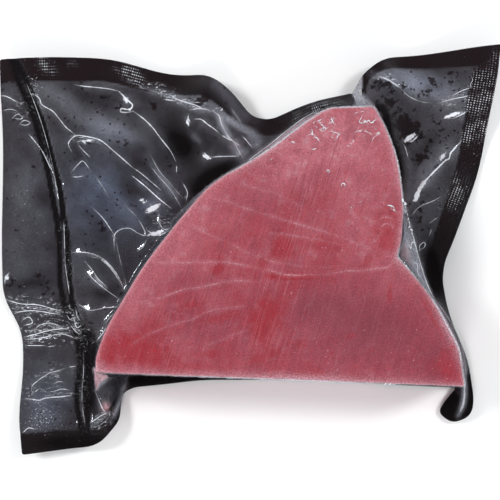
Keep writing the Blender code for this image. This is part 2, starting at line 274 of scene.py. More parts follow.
# x, y, rounding, height of the seam, how far out the margin takes to settle
FOOT_OUTLINE = [
    (33.5, 59.3, 3.0, 7.0, 5.0), (42.5, 59.6, 2.0, 7.0, 5.0), (46.6, 65.5, 2.0, 6.0, 6.0),
    (53.0, 58.0, 3.0, 6.5, 10.0), (56.5, 50.5, 5.0, 5.5, 14.0), (61.6, 37.5, 8.0, 5.0, 14.0),
    (63.6, 20.0, 8.0, 5.0, 14.0), (67.8, 4.3, 8.0, 5.0, 12.0), (71.8, -8.3, 6.0, 4.5, 9.0),
    (75.9, -18.6, 6.0, 4.5, 6.0), (80.0, -25.4, 4.0, 4.5, 5.0), (83.5, -32.0, 4.0, 4.0, 4.0),
    (87.0, -38.5, 4.0, 4.0, 4.0), (88.9, -45.0, 4.0, 4.0, 4.0), (89.6, -52.0, 3.0, 4.0, 4.0),
    (89.0, -57.0, 1.0, 3.0, 5.0), (86.0, -56.3, 1.0, 1.3, 2.0), (27.3, -53.6, 20.0, 1.0, 1.3),
    (-49.5, -51.0, 1.5, 1.2, 3.0), (-55.5, -61.5, 2.0, 2.0, 6.0), (-59.8, -67.0, 1.5, 2.5, 6.0),
    (-64.4, -57.0, 3.0, 4.0, 9.0), (-64.4, -43.0, 3.0, 5.5, 14.0), (-60.3, -30.2, 8.0, 6.0, 18.0),
    (-45.2, -4.2, 8.0, 6.0, 20.0), (-29.9, 15.6, 8.0, 6.0, 20.0), (-16.2, 28.3, 8.0, 5.0, 14.0),
    (3.9, 41.0, 8.0, 5.0, 8.0), (20.6, 53.8, 4.0, 6.0, 5.0),
]

# x, y, rounding, width of the seal along this edge; the mouth's edge, at the left, has none
SEALED_EDGE = [
    (-103.5, 78.8, 1.0, 9.7), (-78.6, 79.9, 8.0, 9.8), (-57.9, 79.6, 8.0, 9.8), (-33.0, 72.9, 8.0, 9.2),
    (-17.0, 72.8, 5.0, 8.4), (-8.2, 66.4, 5.0, 8.0), (1.0, 55.3, 5.0, 7.4), (8.5, 54.0, 5.0, 7.0),
    (24.8, 61.7, 8.0, 7.0), (42.6, 65.3, 0.8, 6.0), (46.5, 72.6, 3.0, 3.0), (55.4, 80.0, 6.0, 4.6),
    (77.0, 81.6, 10.0, 6.6), (103.3, 84.8, 0.8, 9.0), (101.6, 68.0, 6.0, 11.0), (96.0, 32.4, 10.0, 9.6),
    (81.0, -5.0, 3.0, 8.0), (80.2, -12.5, 3.0, 8.0), (82.9, -27.0, 8.0, 6.0), (91.4, -46.5, 8.0, 6.0),
    (93.4, -62.0, 5.0, 6.0), (92.2, -69.4, 4.0, 6.0), (84.5, -72.8, 4.0, 6.0), (78.8, -68.0, 2.5, 6.0),
    (82.0, -62.5, 3.0, 6.0), (86.3, -57.6, 0.6, 6.0), (27.3, -54.7, 20.0, 6.0), (12.0, -54.4, 8.0, 6.0),
    (-20.0, -54.2, 8.0, 6.0), (-35.0, -56.2, 8.0, 6.0), (-49.0, -57.6, 4.0, 5.0), (-53.4, -60.0, 3.0, 4.0),
    (-54.3, -71.0, 3.0, 4.5), (-63.2, -81.6, 6.0, 7.0), (-76.0, -82.9, 6.0, 8.2), (-94.8, -85.2, 1.0, 8.6),
]
MOUTH_EDGE = [
    (-96.4, -68.0, 6.0, 0.0), (-94.9, -50.0, 6.0, 0.0), (-95.4, -34.5, 6.0, 0.0),
    (-103.5, -19.0, 6.0, 0.0), (-103.2, 20.0, 10.0, 0.0), (-103.3, 60.0, 8.0, 0.0),
]

# The gap in the back film beside the steak's point, which the clear film alone bridges
BACK_NOTCH = [
    (41.6, 66.5, 0.3), (42.6, 65.3, 0.3), (44.6, 58.8, 0.5), (51.3, 59.6, 0.5), (46.3, 63.9, 1.0),
    (46.4, 72.9, 0.3), (45.0, 76.0, 0.3),
]

# Broad swells of the margins: x, y, radius, height
SWELLS = [
    (-95.0, 78.0, 26.0, 7.0), (-101.0, 8.0, 24.0, 3.5), (-92.0, -82.0, 22.0, 4.0), (-60.0, 72.0, 24.0, 3.0),
    (-12.0, 70.0, 14.0, 6.0), (8.0, 55.0, 12.0, 3.0), (50.0, 76.0, 12.0, 5.0), (98.0, 80.0, 24.0, 9.0),
    (84.0, 2.0, 18.0, 4.0), (92.0, -64.0, 9.0, 3.0), (-58.0, -76.0, 12.0, 5.0), (-72.0, 20.0, 20.0, 2.0),
]

# The main creases of the drawn film: height, half width, the points that the crest follows
FOLDS = [
    (3.4, 5.5, [(-90.3, 64.6), (-80.4, 56.4), (-72.1, 46.8), (-62.6, 45.2), (-47.7, 33.2), (-32.7, 17.8)]),
    (3.2, 5.0, [(-70.4, 68.4), (-54.7, 65.9), (-48.9, 60.5), (-39.4, 50.1), (-30.3, 35.6), (-26.1, 25.0)]),
    (2.4, 4.5, [(-63.8, 29.0), (-52.2, 14.5), (-43.5, 6.6)]),
    (2.6, 4.5, [(-74.6, -0.8), (-66.7, -1.2), (-52.5, -15.0)]),
    (2.0, 4.0, [(-68.8, -7.9), (-61.3, -14.1), (-56.0, -19.0)]),
    (1.8, 4.0, [(-70.4, -25.3), (-60.5, -24.2)]),
    (2.8, 4.0, [(-22.4, 53.5), (-14.5, 48.5), (-5.8, 42.7)]),
    (2.2, 4.0, [(-19.1, 39.0), (-16.6, 37.3), (-5.5, 37.6)]),
    (3.2, 4.5, [(-44.3, 68.0), (-31.1, 63.4), (-13.7, 56.8), (-3.3, 41.0)]),
    (2.4, 4.0, [(-13.7, 55.5), (-2.1, 49.7), (1.5, 43.0)]),
    (3.4, 5.0, [(48.5, 72.0), (53.9, 70.9), (62.6, 68.0), (71.3, 62.2), (89.5, 63.8)]),
    (2.0, 4.0, [(80.0, 55.1), (98.5, 59.5)]),
    (3.6, 5.0, [(86.2, 46.0), (77.5, 35.2), (69.8, 24.5)]),
    (2.0, 4.0, [(-100.5, -22.0), (-91.2, -23.2), (-80.5, -25.5)]),
    (2.0, 4.0, [(-93.5, -35.2), (-80.8, -33.2), (-75.5, -32.0)]),
    (2.6, 3.0, [(-53.6, -60.5), (-55.4, -65.5), (-59.0, -69.5)]),
    (2.0, 2.5, [(89.4, -58.8), (88.8, -63.5), (87.3, -67.0)]),
]

# The two pressed lines that close the mouth
MOUTH_SEALS = [
    [(-98.0, 79.0), (-95.5, 69.5), (-92.5, 62.5), (-89.5, 54.0), (-87.5, 45.5), (-85.5, 37.5),
     (-83.5, 29.0), (-82.0, 21.0), (-80.5, 12.5), (-79.5, 4.0), (-79.5, -4.0), (-79.5, -12.5),
     (-78.0, -21.0), (-76.0, -27.0), (-73.0, -33.0), (-71.5, -39.5), (-70.5, -45.5), (-71.5, -54.0),
     (-72.5, -60.0), (-72.0, -66.5), (-70.5, -72.5), (-69.0, -78.0)],
    [(-96.5, 78.0), (-92.0, 69.5), (-89.5, 62.5), (-86.5, 54.0), (-84.5, 45.5), (-82.5, 37.5),
     (-80.0, 29.0), (-78.5, 21.0), (-77.5, 12.5), (-76.0, 4.0), (-76.0, -4.0), (-75.5, -12.5),
     (-74.5, -21.0), (-72.5, -27.0), (-69.5, -33.0), (-67.5, -39.5), (-67.5, -45.5), (-67.5, -54.0),
     (-68.5, -60.0), (-68.0, -66.5), (-67.5, -72.5), (-67.0, -78.0)],
]

# Fine creases of the clear film: height, half width, the crest's painted highlight and whitening, the points
# of the crest
FINE_CREASES = [
    # Down from the top seal and along the mouth's seal
    (0.6, 1.3, 0.8, [(-90.1, 64.8), (-88.1, 63.7), (-86.8, 62.2), (-85.8, 59.9), (-81.8, 57.6),
                     (-78.7, 53.9), (-76.2, 50.8), (-72.5, 47.9)]),
    (1.0, 1.8, 0.8, [(-74.6, 41.4), (-75.6, 44.5), (-72.5, 47.4), (-68.4, 47.2), (-62.2, 45.6),
                     (-57.0, 41.4), (-48.7, 34.2)]),
    (0.8, 1.5, 0.6, [(-48.7, 34.2), (-45.6, 32.1), (-41.4, 28.6), (-37.3, 25.1)]),
    (0.6, 1.2, 0.9, [(-72.5, 45.0), (-69.0, 45.5), (-66.0, 45.0)]),
    (0.6, 1.2, 0.7, [(-72.0, 44.5), (-69.5, 41.5), (-67.0, 39.0)]),
    (0.6, 1.0, 0.8, [(-74.5, 32.5), (-71.5, 36.0), (-69.5, 37.0), (-66.5, 33.0)]),
    (0.5, 1.0, 0.7, [(-74.0, 30.5), (-71.5, 30.5), (-69.5, 31.0)]),
    (1.1, 2.0, 1.0, [(-48.5, 30.5), (-43.5, 26.5), (-38.0, 21.5), (-33.0, 17.5)]),
    (0.8, 1.6, 0.8, [(-72.1, 68.4), (-68.0, 67.7), (-64.2, 67.3), (-58.0, 66.6), (-54.4, 65.8)]),
    (1.0, 2.6, 1.0, [(-54.4, 65.8), (-52.8, 64.2), (-50.8, 62.2), (-48.7, 60.1), (-50.2, 58.4),
                     (-53.2, 58.8), (-53.9, 57.6), (-51.8, 57.2), (-48.5, 57.8)]),
    (1.0, 1.9, 0.9, [(-48.5, 57.8), (-44.0, 54.4), (-40.4, 50.8), (-37.3, 46.6), (-33.2, 41.4),
                     (-31.1, 37.3)]),
    (0.6, 1.0, 0.7, [(-30.5, 35.0), (-30.5, 32.0)]),
    (0.6, 1.0, 0.7, [(-28.0, 28.0), (-26.0, 24.0), (-26.5, 20.5)]),
    (0.8, 1.4, 0.4, [(-41.5, 35.0), (-37.5, 30.0), (-33.0, 25.0), (-29.0, 18.5), (-27.5, 15.5)]),
    (0.6, 1.2, 0.4, [(-41.5, 39.5), (-37.5, 32.5), (-33.0, 27.5), (-28.0, 21.5)]),
    (0.5, 1.2, 0.35, [(-64.0, 30.0), (-60.5, 25.0), (-58.0, 20.5)]),
    (0.6, 1.2, 0.6, [(-66.0, 18.0), (-61.5, 13.5), (-59.0, 10.0), (-57.0, 7.0)]),
    (0.8, 1.5, 0.5, [(-56.5, 0.0), (-56.5, 6.0), (-54.0, 8.5), (-50.0, 9.0), (-46.5, 7.0), (-43.5, 6.0),
                     (-44.0, 8.5), (-47.0, 13.5), (-52.0, 18.5)]),
    (0.6, 1.2, 0.9, [(-43.0, 4.0), (-44.5, 1.0), (-47.0, -0.5)]),
    (0.6, 1.2, 0.4, [(-56.0, 4.0), (-54.5, -2.0), (-53.0, -7.5), (-51.5, -13.5), (-51.0, -17.5)]),
    (0.9, 1.5, 0.7, [(-74.0, -1.0), (-68.5, -1.0), (-63.0, -2.5), (-58.5, -6.0), (-54.5, -11.0),
                     (-52.0, -16.5)]),
    (0.6, 1.0, 0.5, [(-67.0, -2.5), (-62.0, -4.0), (-57.5, -8.0), (-54.0, -13.0), (-51.0, -18.0)]),
    (0.6, 1.0, 0.8, [(-68.5, -5.0), (-65.5, -8.5), (-63.0, -12.0), (-59.0, -15.5)]),
    (0.7, 1.2, 0.8, [(-68.5, -8.5), (-64.0, -13.0), (-59.0, -17.0), (-54.0, -20.5)]),
    (0.6, 1.0, 0.8, [(-34.5, 14.0), (-37.5, 13.5), (-37.5, 11.0), (-35.5, 8.5), (-32.5, 9.0)]),
    (0.8, 1.6, 0.9, [(-42.5, 8.0), (-38.5, 6.0), (-34.0, 7.5)]),
    (0.8, 1.3, 0.9, [(-71.0, -23.0), (-66.5, -25.0), (-60.0, -24.0), (-54.5, -23.5)]),
    (0.6, 1.2, 0.6, [(-60.0, -31.0), (-58.0, -28.0), (-55.0, -25.5)]),
    (0.6, 1.2, 0.6, [(-63.5, -37.5), (-60.5, -34.0), (-59.0, -31.0)]),
    # Between the top seal and the steak's long side
    (1.0, 1.6, 1.0, [(-22.6, 54.6), (-20.3, 54.4), (-17.7, 52.3), (-14.6, 50.1), (-12.0, 47.8),
                     (-9.4, 46.2), (-7.5, 45.3), (-4.8, 43.8)]),
    (0.9, 2.8, 1.0, [(-19.2, 40.5), (-17.7, 39.2), (-16.5, 38.4)]),
    (0.7, 1.4, 0.9, [(-16.5, 38.4), (-13.6, 38.8), (-9.8, 38.9), (-5.3, 39.0)]),
    (0.6, 2.2, 0.6, [(-44.4, 67.6), (-38.8, 65.8), (-33.5, 64.7), (-30.5, 62.8), (-27.4, 61.7),
                     (-22.9, 60.2), (-19.2, 58.7), (-16.2, 57.6)]),
    (0.5, 1.6, 0.6, [(-35.8, 62.8), (-31.2, 62.1)]),
    (0.5, 1.6, 0.7, [(-24.2, 58.4), (-21.5, 58.7), (-17.0, 58.2)]),
    (0.5, 1.2, 0.5, [(-15.5, 57.6), (-12.9, 55.7), (-11.8, 52.3), (-9.5, 47.8), (-6.5, 44.4),
                     (-3.0, 38.0)]),
    (0.5, 1.0, 0.6, [(-8.0, 59.5), (-6.4, 56.8), (-4.6, 54.2), (-3.0, 51.9)]),
    (0.4, 1.0, 0.9, [(-3.0, 47.0), (-1.5, 45.5), (0.8, 42.8)]),
    (0.8, 2.0, 0.9, [(-25.6, 56.0), (-25.8, 54.8), (-25.0, 53.6)]),
    # The open lip past the mouth's seal
    (0.6, 1.2, 0.8, [(-103.5, 64.0), (-100.5, 63.5), (-96.0, 61.0)]),
    (0.4, 1.0, 0.5, [(-102.5, 58.0), (-99.5, 58.5), (-96.0, 57.5)]),
    (0.5, 1.0, 0.8, [(-99.0, 55.0), (-96.5, 56.5), (-94.5, 55.0), (-96.0, 54.5), (-98.5, 55.0)]),
    (0.5, 1.0, 0.8, [(-96.0, 52.5), (-94.0, 54.0), (-91.5, 53.0), (-93.5, 52.0), (-96.0, 52.5)]),
    (0.6, 1.2, 0.7, [(-92.0, 48.0), (-89.5, 45.0), (-87.0, 41.5)]),
    (0.8, 1.6, 1.0, [(-102.5, -14.0), (-102.0, -11.5), (-100.5, -9.5)]),
    (0.7, 1.2, 0.8, [(-101.5, -21.0), (-95.5, -22.5), (-88.0, -23.0), (-79.5, -25.5)]),
    (0.7, 1.2, 0.8, [(-98.5, -26.5), (-94.5, -25.5), (-88.0, -25.5), (-79.5, -27.0)]),
    (0.5, 1.0, 0.8, [(-95.5, -29.5), (-92.5, -28.0), (-91.0, -30.5), (-94.5, -31.5)]),
    (0.6, 1.0, 0.8, [(-90.0, -33.5), (-88.0, -31.5), (-83.5, -30.5), (-78.5, -32.0)]),
    (0.8, 1.2, 1.0, [(-94.5, -36.5), (-89.0, -35.0), (-83.5, -33.5), (-76.0, -32.5)]),
    (0.8, 1.2, 1.0, [(-93.0, -37.5), (-86.0, -36.5), (-78.5, -35.0), (-73.0, -37.0)]),
    (0.5, 1.0, 0.7, [(-94.0, -40.0), (-86.0, -40.0)]), (0.5, 1.0, 0.6, [(-84.5, -40.5), (-81.0, -40.0)]),
    (0.7, 1.3, 0.7, [(-91.2, -58.6), (-91.0, -56.8), (-88.3, -54.3), (-85.8, -52.7), (-83.7, -51.3),
                     (-80.4, -50.5), (-77.7, -49.6)]),
    (0.5, 1.0, 0.6, [(-75.4, -48.9), (-72.5, -48.4)]), (0.5, 1.0, 0.6, [(-90.0, -59.3), (-88.4, -58.2)]),
    (0.5, 1.0, 0.6, [(-84.1, -59.4), (-81.3, -58.9), (-78.7, -58.1), (-75.0, -58.7)]),
    (0.7, 1.8, 1.0, [(-93.4, -62.1), (-90.3, -62.4), (-87.9, -62.7), (-85.8, -61.9), (-82.9, -61.5),
                     (-78.7, -61.3), (-75.0, -60.8)]),
    (0.5, 0.9, 0.5, [(-82.0, -56.0), (-80.0, -55.0), (-77.5, -55.4)]),
    (0.5, 0.9, 0.6, [(-82.0, -52.8), (-79.6, -52.6)]),
    (0.5, 1.0, 0.8, [(-94.5, -76.0), (-92.0, -74.0), (-89.5, -74.5)]),
    (0.5, 1.0, 1.0, [(-76.5, -27.4), (-75.2, -29.1), (-74.0, -28.3), (-72.7, -30.3)]),
    (0.5, 1.0, 0.9, [(-72.7, -25.3), (-71.9, -28.3), (-70.6, -29.5)]),
    (0.5, 1.0, 1.0, [(-73.5, -29.9), (-72.3, -32.4), (-70.6, -31.6)]),
    (0.5, 1.0, 0.8, [(-75.2, -31.2), (-73.1, -33.7), (-71.5, -34.9)]),
    (0.4, 0.9, 0.45, [(-92.2, 68.4), (-88.1, 57.0), (-83.9, 41.4), (-81.3, 29.0), (-79.3, 15.5)]),
    (0.4, 1.6, 1.0, [(-88.1, 43.5), (-85.6, 39.0), (-82.9, 33.2)]),
    (0.4, 0.8, 0.6, [(-77.6, 12.0), (-77.4, 2.0), (-77.0, -8.0), (-75.6, -18.0)]),
    (0.4, 0.8, 0.5, [(-69.2, -42.0), (-69.5, -52.2), (-70.2, -59.7), (-69.8, -66.3), (-68.6, -73.4)]),
    # The right margin
    (1.0, 2.4, 1.0, [(54.0, 71.5), (57.0, 70.5), (59.5, 69.0), (62.5, 67.2)]),
    (1.0, 1.8, 0.45, [(62.5, 67.2), (64.5, 65.0), (67.5, 63.0), (71.5, 61.5), (75.0, 61.2)]),
    (0.9, 1.2, 0.9, [(78.5, 61.1), (83.5, 62.4), (87.5, 63.2), (91.3, 64.1)]),
    (0.5, 1.0, 0.8, [(84.0, 64.0), (87.6, 65.9), (91.5, 67.2)]),
    (0.5, 1.0, 1.0, [(91.3, 71.5), (91.9, 70.0), (91.1, 68.6), (91.5, 67.2)]),
    (1.0, 2.6, 1.0, [(81.4, 55.2), (83.1, 54.6), (85.6, 55.2), (88.9, 56.9), (90.6, 58.1)]),
    (0.8, 3.0, 1.0, [(66.2, 45.2), (67.5, 45.3), (69.8, 47.4)]),
    (1.4, 3.2, 1.0, [(88.6, 46.2), (87.2, 44.4), (84.8, 41.9), (83.4, 40.2), (82.9, 38.1), (81.0, 37.0),
                     (77.5, 33.5), (74.0, 30.0), (70.4, 25.5), (69.2, 22.0)]),
    (0.5, 1.0, 0.5, [(66.5, 13.5), (70.5, 18.0), (76.5, 20.5), (81.0, 23.0)]),
    (0.5, 1.0, 0.6, [(74.5, 11.0), (78.0, 13.5)]), (0.5, 1.0, 0.8, [(75.5, 8.5), (74.5, 6.0)]),
    (0.5, 1.0, 0.8, [(70.4, -0.4), (70.4, 1.7), (72.0, 3.1), (72.8, 2.6), (72.3, 1.0), (70.9, 0.4)]),
    (0.2, 0.9, 0.8, [(64.0, 44.0), (65.0, 41.5), (65.8, 38.5)]),
    (0.4, 0.8, 0.6, [(-1.0, 36.8), (8.0, 43.6), (16.0, 50.0), (24.0, 55.8), (31.0, 58.6)]),
    # The web beside the steak's notch, and the ridge that runs on from it to the corner
    (0.5, 1.4, 0.9, [(64.6, 18.6), (64.0, 16.8), (64.4, 15.0)]),
    (0.4, 1.0, 0.8, [(64.0, 3.7), (65.8, 0.5), (66.3, 2.6), (67.9, 3.1), (68.8, 0.5)]),
    (0.4, 1.0, 0.8, [(66.7, -5.2), (68.4, -5.7), (68.8, -7.3), (67.9, -9.3), (69.4, -10.8)]),
    (0.6, 1.2, 0.6, [(63.5, 21.5), (65.5, 13.5), (68.0, 4.5), (69.5, -1.5), (71.5, -8.5), (74.0, -15.5),
                     (77.0, -20.5), (81.0, -26.0), (85.0, -32.5), (88.0, -39.5), (89.5, -46.5),
                     (90.0, -54.0), (89.5, -61.5), (88.5, -67.0)]),
    (0.5, 2.2, 0.8, [(89.1, -53.9), (89.5, -58.0), (89.1, -62.2), (88.1, -66.3), (87.0, -68.8)]),
    # The ear at the lower left corner
    (0.4, 1.4, 1.0, [(-64.6, -57.7), (-64.1, -59.6), (-63.2, -62.1), (-62.3, -64.4), (-61.3, -66.5),
                     (-60.0, -68.0)]),
    (0.5, 1.2, 0.25, [(-52.2, -53.7), (-51.9, -55.3), (-52.5, -57.1), (-54.1, -62.7), (-56.1, -67.7),
                      (-58.0, -71.2)]),
    (0.5, 1.0, 0.8, [(-66.5, -72.0), (-62.0, -69.0), (-59.5, -68.0)]),
    (0.5, 1.0, 0.8, [(-64.5, -74.0), (-60.5, -71.5), (-58.0, -68.5)]),
]

# Small curls of the clear film over the steak, with painted glints: half width, how strong the painted glint
# and whitening are, points
STEAK_CURLS = [
    # Over the thick end, left
    (0.8, 0.8, [(26.7, 51.0), (28.3, 51.7)]), (0.7, 0.35, [(25.1, 49.9), (25.4, 50.7), (26.0, 50.9)]),
    (0.9, 0.95, [(27.7, 50.3), (28.3, 49.7), (29.1, 49.0), (30.0, 47.9), (29.8, 47.2), (29.3, 47.0)]),
    (1.3, 1.0, [(28.1, 47.6), (28.5, 47.1)]), (0.7, 0.4, [(22.3, 45.0), (23.1, 45.6), (24.8, 45.8)]),
    (0.9, 0.85, [(24.7, 47.7), (24.8, 45.8), (25.0, 45.0), (25.4, 44.3)]),
    (1.0, 0.95, [(25.8, 45.2), (26.4, 44.5), (27.4, 43.3)]), (0.7, 0.35, [(26.0, 49.0), (26.4, 48.3)]),
    (1.2, 1.0, [(32.2, 52.2), (32.5, 51.5), (33.2, 50.1)]), (0.8, 0.3, [(30.9, 50.2), (32.4, 50.1)]),
    (1.0, 0.9, [(30.6, 46.3), (31.0, 46.8), (31.8, 47.2), (33.4, 46.6), (34.5, 46.4), (35.5, 46.8)]),
    (0.8, 0.65, [(35.0, 46.4), (35.0, 45.6), (34.7, 44.9), (33.8, 44.1)]),
    (0.9, 0.55, [(32.5, 47.9), (32.8, 47.7)]), (0.8, 0.5, [(32.2, 45.7), (32.1, 44.9), (33.2, 44.1)]),
    (0.7, 0.3, [(34.5, 53.8), (35.3, 54.2), (36.3, 54.0)]),
    # Over the thick end, right
    (0.8, 0.45, [(41.5, 53.9), (42.1, 54.4), (42.8, 54.6)]),
    (0.8, 0.35, [(43.9, 54.6), (44.5, 55.0), (45.3, 54.6)]),
    (0.8, 0.5, [(44.6, 53.4), (44.1, 52.4), (43.2, 50.9), (44.0, 50.2), (45.0, 50.1)]),
    (0.9, 0.75, [(45.0, 51.5), (45.6, 50.9), (45.8, 50.1)]), (0.9, 0.5, [(44.9, 48.2), (45.2, 48.1)]),
    (0.9, 0.7, [(46.1, 50.3), (46.9, 51.7), (47.6, 50.6), (48.5, 50.3), (49.0, 51.1), (50.2, 51.9)]),
    (1.3, 0.5, [(41.2, 46.2), (41.9, 46.9), (44.0, 47.2), (45.6, 47.2), (47.6, 46.2), (48.3, 45.7),
                (49.3, 45.8)]),
    (1.0, 0.95, [(50.5, 46.6), (50.9, 47.2), (51.4, 46.8), (51.3, 46.0), (50.9, 45.6), (50.5, 46.0),
                 (50.5, 46.6)]),
    (0.8, 0.45, [(49.3, 47.7), (49.8, 48.1), (50.2, 47.7), (49.3, 47.4)]),
    (0.9, 0.4, [(45.3, 44.2), (45.5, 44.1)]),
    (0.7, 0.35, [(51.0, 45.6), (49.3, 44.9), (48.7, 44.1), (48.2, 42.7)]),
    (0.8, 0.35, [(52.2, 44.4), (52.9, 42.2)]), (0.8, 0.45, [(40.0, 42.3), (41.2, 42.9)]),
    (1.0, 0.6, [(38.4, 41.2), (39.0, 41.3), (39.5, 41.0)]),
    # Further in and along the sides
    (1.2, 0.95, [(24.7, 39.8), (25.2, 39.8), (25.8, 40.2)]),
    (0.7, 0.9, [(16.2, 42.6), (17.0, 43.0), (17.6, 42.4)]),
    (0.8, 0.9, [(36.2, 25.4), (36.4, 26.4), (37.4, 26.4), (37.7, 25.5)]),
    (0.8, 0.8, [(29.6, 31.5), (30.8, 32.0), (31.6, 31.2), (31.0, 30.3)]),
    (0.6, 0.35, [(43.0, 18.8), (44.3, 19.2)]), (0.9, 0.45, [(46.9, 20.8), (47.1, 19.4)]),
    (0.7, 0.4, [(39.8, 17.4), (40.3, 16.6)]), (1.2, 1.0, [(54.6, 17.7), (56.0, 17.6), (57.2, 16.8)]),
    (1.1, 0.9, [(56.2, 16.2), (57.7, 15.4)]), (0.6, 0.5, [(26.6, 15.5), (27.2, 15.1)]),
    (0.6, 0.45, [(20.8, 36.0), (21.4, 36.6)]), (0.5, 0.5, [(8.0, 35.6), (8.6, 36.2)]),
    (0.5, 0.4, [(13.6, 38.6), (14.6, 38.2)]),
]

# Broad soft streaks of haze where the clear film folds over itself, partly a painted sheen: half width,
# strength, points
STREAKS = [
    (1.2, 0.80, [(-14.9, 57.6), (-12.6, 55.2), (-11.4, 52.0), (-9.1, 47.6), (-6.0, 44.0)]),
    (2.2, 0.85, [(-8.0, 46.0), (-5.6, 42.6), (-3.0, 38.6)]), (2.6, 0.5, [(-1.6, 38.6), (-4.4, 41.8)]),
    (2.8, 0.14, [(-18.0, 70.8), (-13.0, 68.5), (-8.0, 62.5), (-3.5, 57.0), (2.0, 54.0)]),
    (1.4, 0.62, [(-12.0, 55.4), (-7.6, 53.5), (-2.4, 50.5), (1.0, 48.6), (4.0, 46.8)]),
    (2.2, 0.62, [(0.4, 48.8), (2.0, 45.0), (3.6, 42.0)]),
    (1.0, 0.26, [(-8.2, 59.8), (-5.6, 55.8), (-2.8, 51.6)]),
    (1.6, 0.34, [(-44.0, 67.8), (-34.0, 64.8), (-27.0, 61.6), (-16.0, 57.6)]),
    (1.2, 0.16, [(-24.6, 49.2), (-22.4, 46.6), (-19.8, 44.2)]),
    (1.6, 0.16, [(-43.0, 38.6), (-36.0, 29.0), (-29.5, 20.0)]),
    (3.2, 0.12, [(-60.0, 29.0), (-52.0, 17.0), (-43.0, 7.0)]),
    (2.2, 0.10, [(-74.0, 36.0), (-66.0, 30.0), (-56.0, 24.0)]),
    (2.2, 0.3, [(83.5, 45.0), (76.5, 35.5), (69.0, 24.5)]),
    (1.6, 0.3, [(50.5, 72.6), (56.0, 71.0), (60.5, 69.0), (63.5, 66.8)]),
    (1.6, 0.12, [(66.0, 40.0), (66.5, 30.0), (65.5, 18.0)]),
    (0.9, 0.3, [(62.5, 7.0), (64.6, -3.0), (68.5, -10.0), (73.0, -17.0)]),
    (0.9, 0.8, [(89.1, -52.0), (89.5, -58.0), (89.1, -62.2), (88.1, -66.3), (87.0, -69.2)]),
    (1.0, 0.34, [(-52.2, -53.7), (-51.9, -55.3), (-52.5, -57.1), (-54.1, -62.7), (-56.1, -67.7),
                 (-58.0, -71.2)]),
    (0.8, 0.4, [(-64.2, -58.6), (-61.4, -55.0), (-58.2, -52.6), (-56.6, -52.0)]),
    (1.6, 0.22, [(-61.4, -64.4), (-60.2, -67.4)]),
    (1.0, 0.2, [(79.8, -23.8), (84.0, -31.0), (87.1, -37.3), (89.3, -43.0), (90.2, -49.0), (88.4, -56.0)]),
    (2.4, 0.16, [(81.0, 46.0), (74.5, 37.0), (67.0, 27.0)]),
]

# Where painted glints show fine crumples in the clear film: x, y, half length, half width, turn, strength
CRUMPLE_GLINTS = [
    (-91.0, -24.0, 13.0, 4.0, -5.0, 1.0), (-85.0, -35.0, 13.0, 4.5, 4.0, 1.0),
    (-84.0, -60.0, 12.0, 2.5, 2.0, 0.8), (-73.5, -30.0, 3.0, 6.0, 28.0, 1.0),
    (-85.0, -52.0, 9.0, 3.0, 30.0, 0.5), (-62.0, -71.0, 6.0, 2.5, 30.0, 0.9),
    (-30.0, 63.4, 16.0, 1.8, -20.0, 0.8), (-61.0, -34.0, 2.0, 5.0, -30.0, 0.4),
    (-67.0, 45.5, 5.0, 2.5, 0.0, 0.4), (-36.0, 12.0, 5.0, 5.0, 0.0, 0.5), (68.0, 1.0, 3.0, 9.0, 20.0, 0.25),
    (-93.0, 60.0, 6.0, 5.0, 0.0, 0.4), (57.5, 70.0, 6.0, 1.8, -22.0, 1.0),
    (-40.0, 68.5, 8.0, 1.5, -12.0, 0.5), (-70.5, -52.0, 3.0, 14.0, 0.0, 0.3),
    (86.0, 62.0, 7.0, 2.0, 15.0, 0.5),
]

# Where small white glints lie on the film: x, y, half length, half width, turn, strength
GLINTS = [
    (-91.0, 10.0, 42.0, 10.0, 90.0, 0.55), (-77.0, -2.0, 14.0, 3.0, 95.0, 0.75),
    (-71.0, -34.0, 12.0, 3.5, 115.0, 0.7), (-69.5, -56.0, 22.0, 3.5, 92.0, 0.65),
    (-90.0, 70.0, 10.0, 3.0, 110.0, 0.8), (-84.0, -68.0, 12.0, 12.0, 0.0, 0.8),
    (-63.0, -36.0, 3.0, 12.0, 0.0, 0.3), (96.0, 52.0, 8.0, 22.0, -15.0, 0.6),
    (-84.0, 75.5, 6.0, 6.0, 0.0, 0.5), (82.0, 20.0, 10.0, 16.0, -15.0, 0.5),
    (24.0, -50.5, 60.0, 1.5, -2.0, 0.3), (66.0, 2.0, 5.0, 12.0, 25.0, 0.1),
]

# Where the clear film stands off the black one and looks milky, partly a painted reflection of the room: x,
# y, half length, half width, turn, strength
MILK_AND_SHEEN = [
    (-74.0, 59.5, 13.0, 4.0, -36.0, 0.2), (-56.0, 49.5, 14.0, 4.0, -28.0, 0.2),
    (-9.0, 59.0, 9.0, 4.0, -42.0, 0.20), (-19.0, 62.5, 13.0, 3.0, -30.0, 0.16),
    (71.5, 68.0, 11.5, 4.6, -18.0, 0.6), (52.0, 67.0, 5.0, 7.0, 0.0, 0.12),
    (70.0, 54.0, 16.0, 12.0, 0.0, 0.03), (76.5, 10.0, 14.0, 7.0, 70.0, 0.05),
    (-91.0, 12.5, 40.0, 8.0, 90.0, 0.05), (-83.0, -62.0, 10.0, 12.0, 0.0, 0.08),
    (-74.5, 20.0, 12.0, 6.0, 90.0, 0.04), (75.5, 33.0, 12.0, 3.5, 53.0, 0.10),
    (-16.5, 38.0, 4.0, 2.0, 0.0, 0.10), (-41.5, 18.5, 5.0, 2.5, -20.0, 0.25),
    (-66.0, 25.0, 10.0, 16.0, 0.0, 0.05), (-60.0, -60.0, 6.0, 3.0, 90.0, 0.06),
    (-63.0, -72.0, 4.5, 2.2, 30.0, 0.20),
]
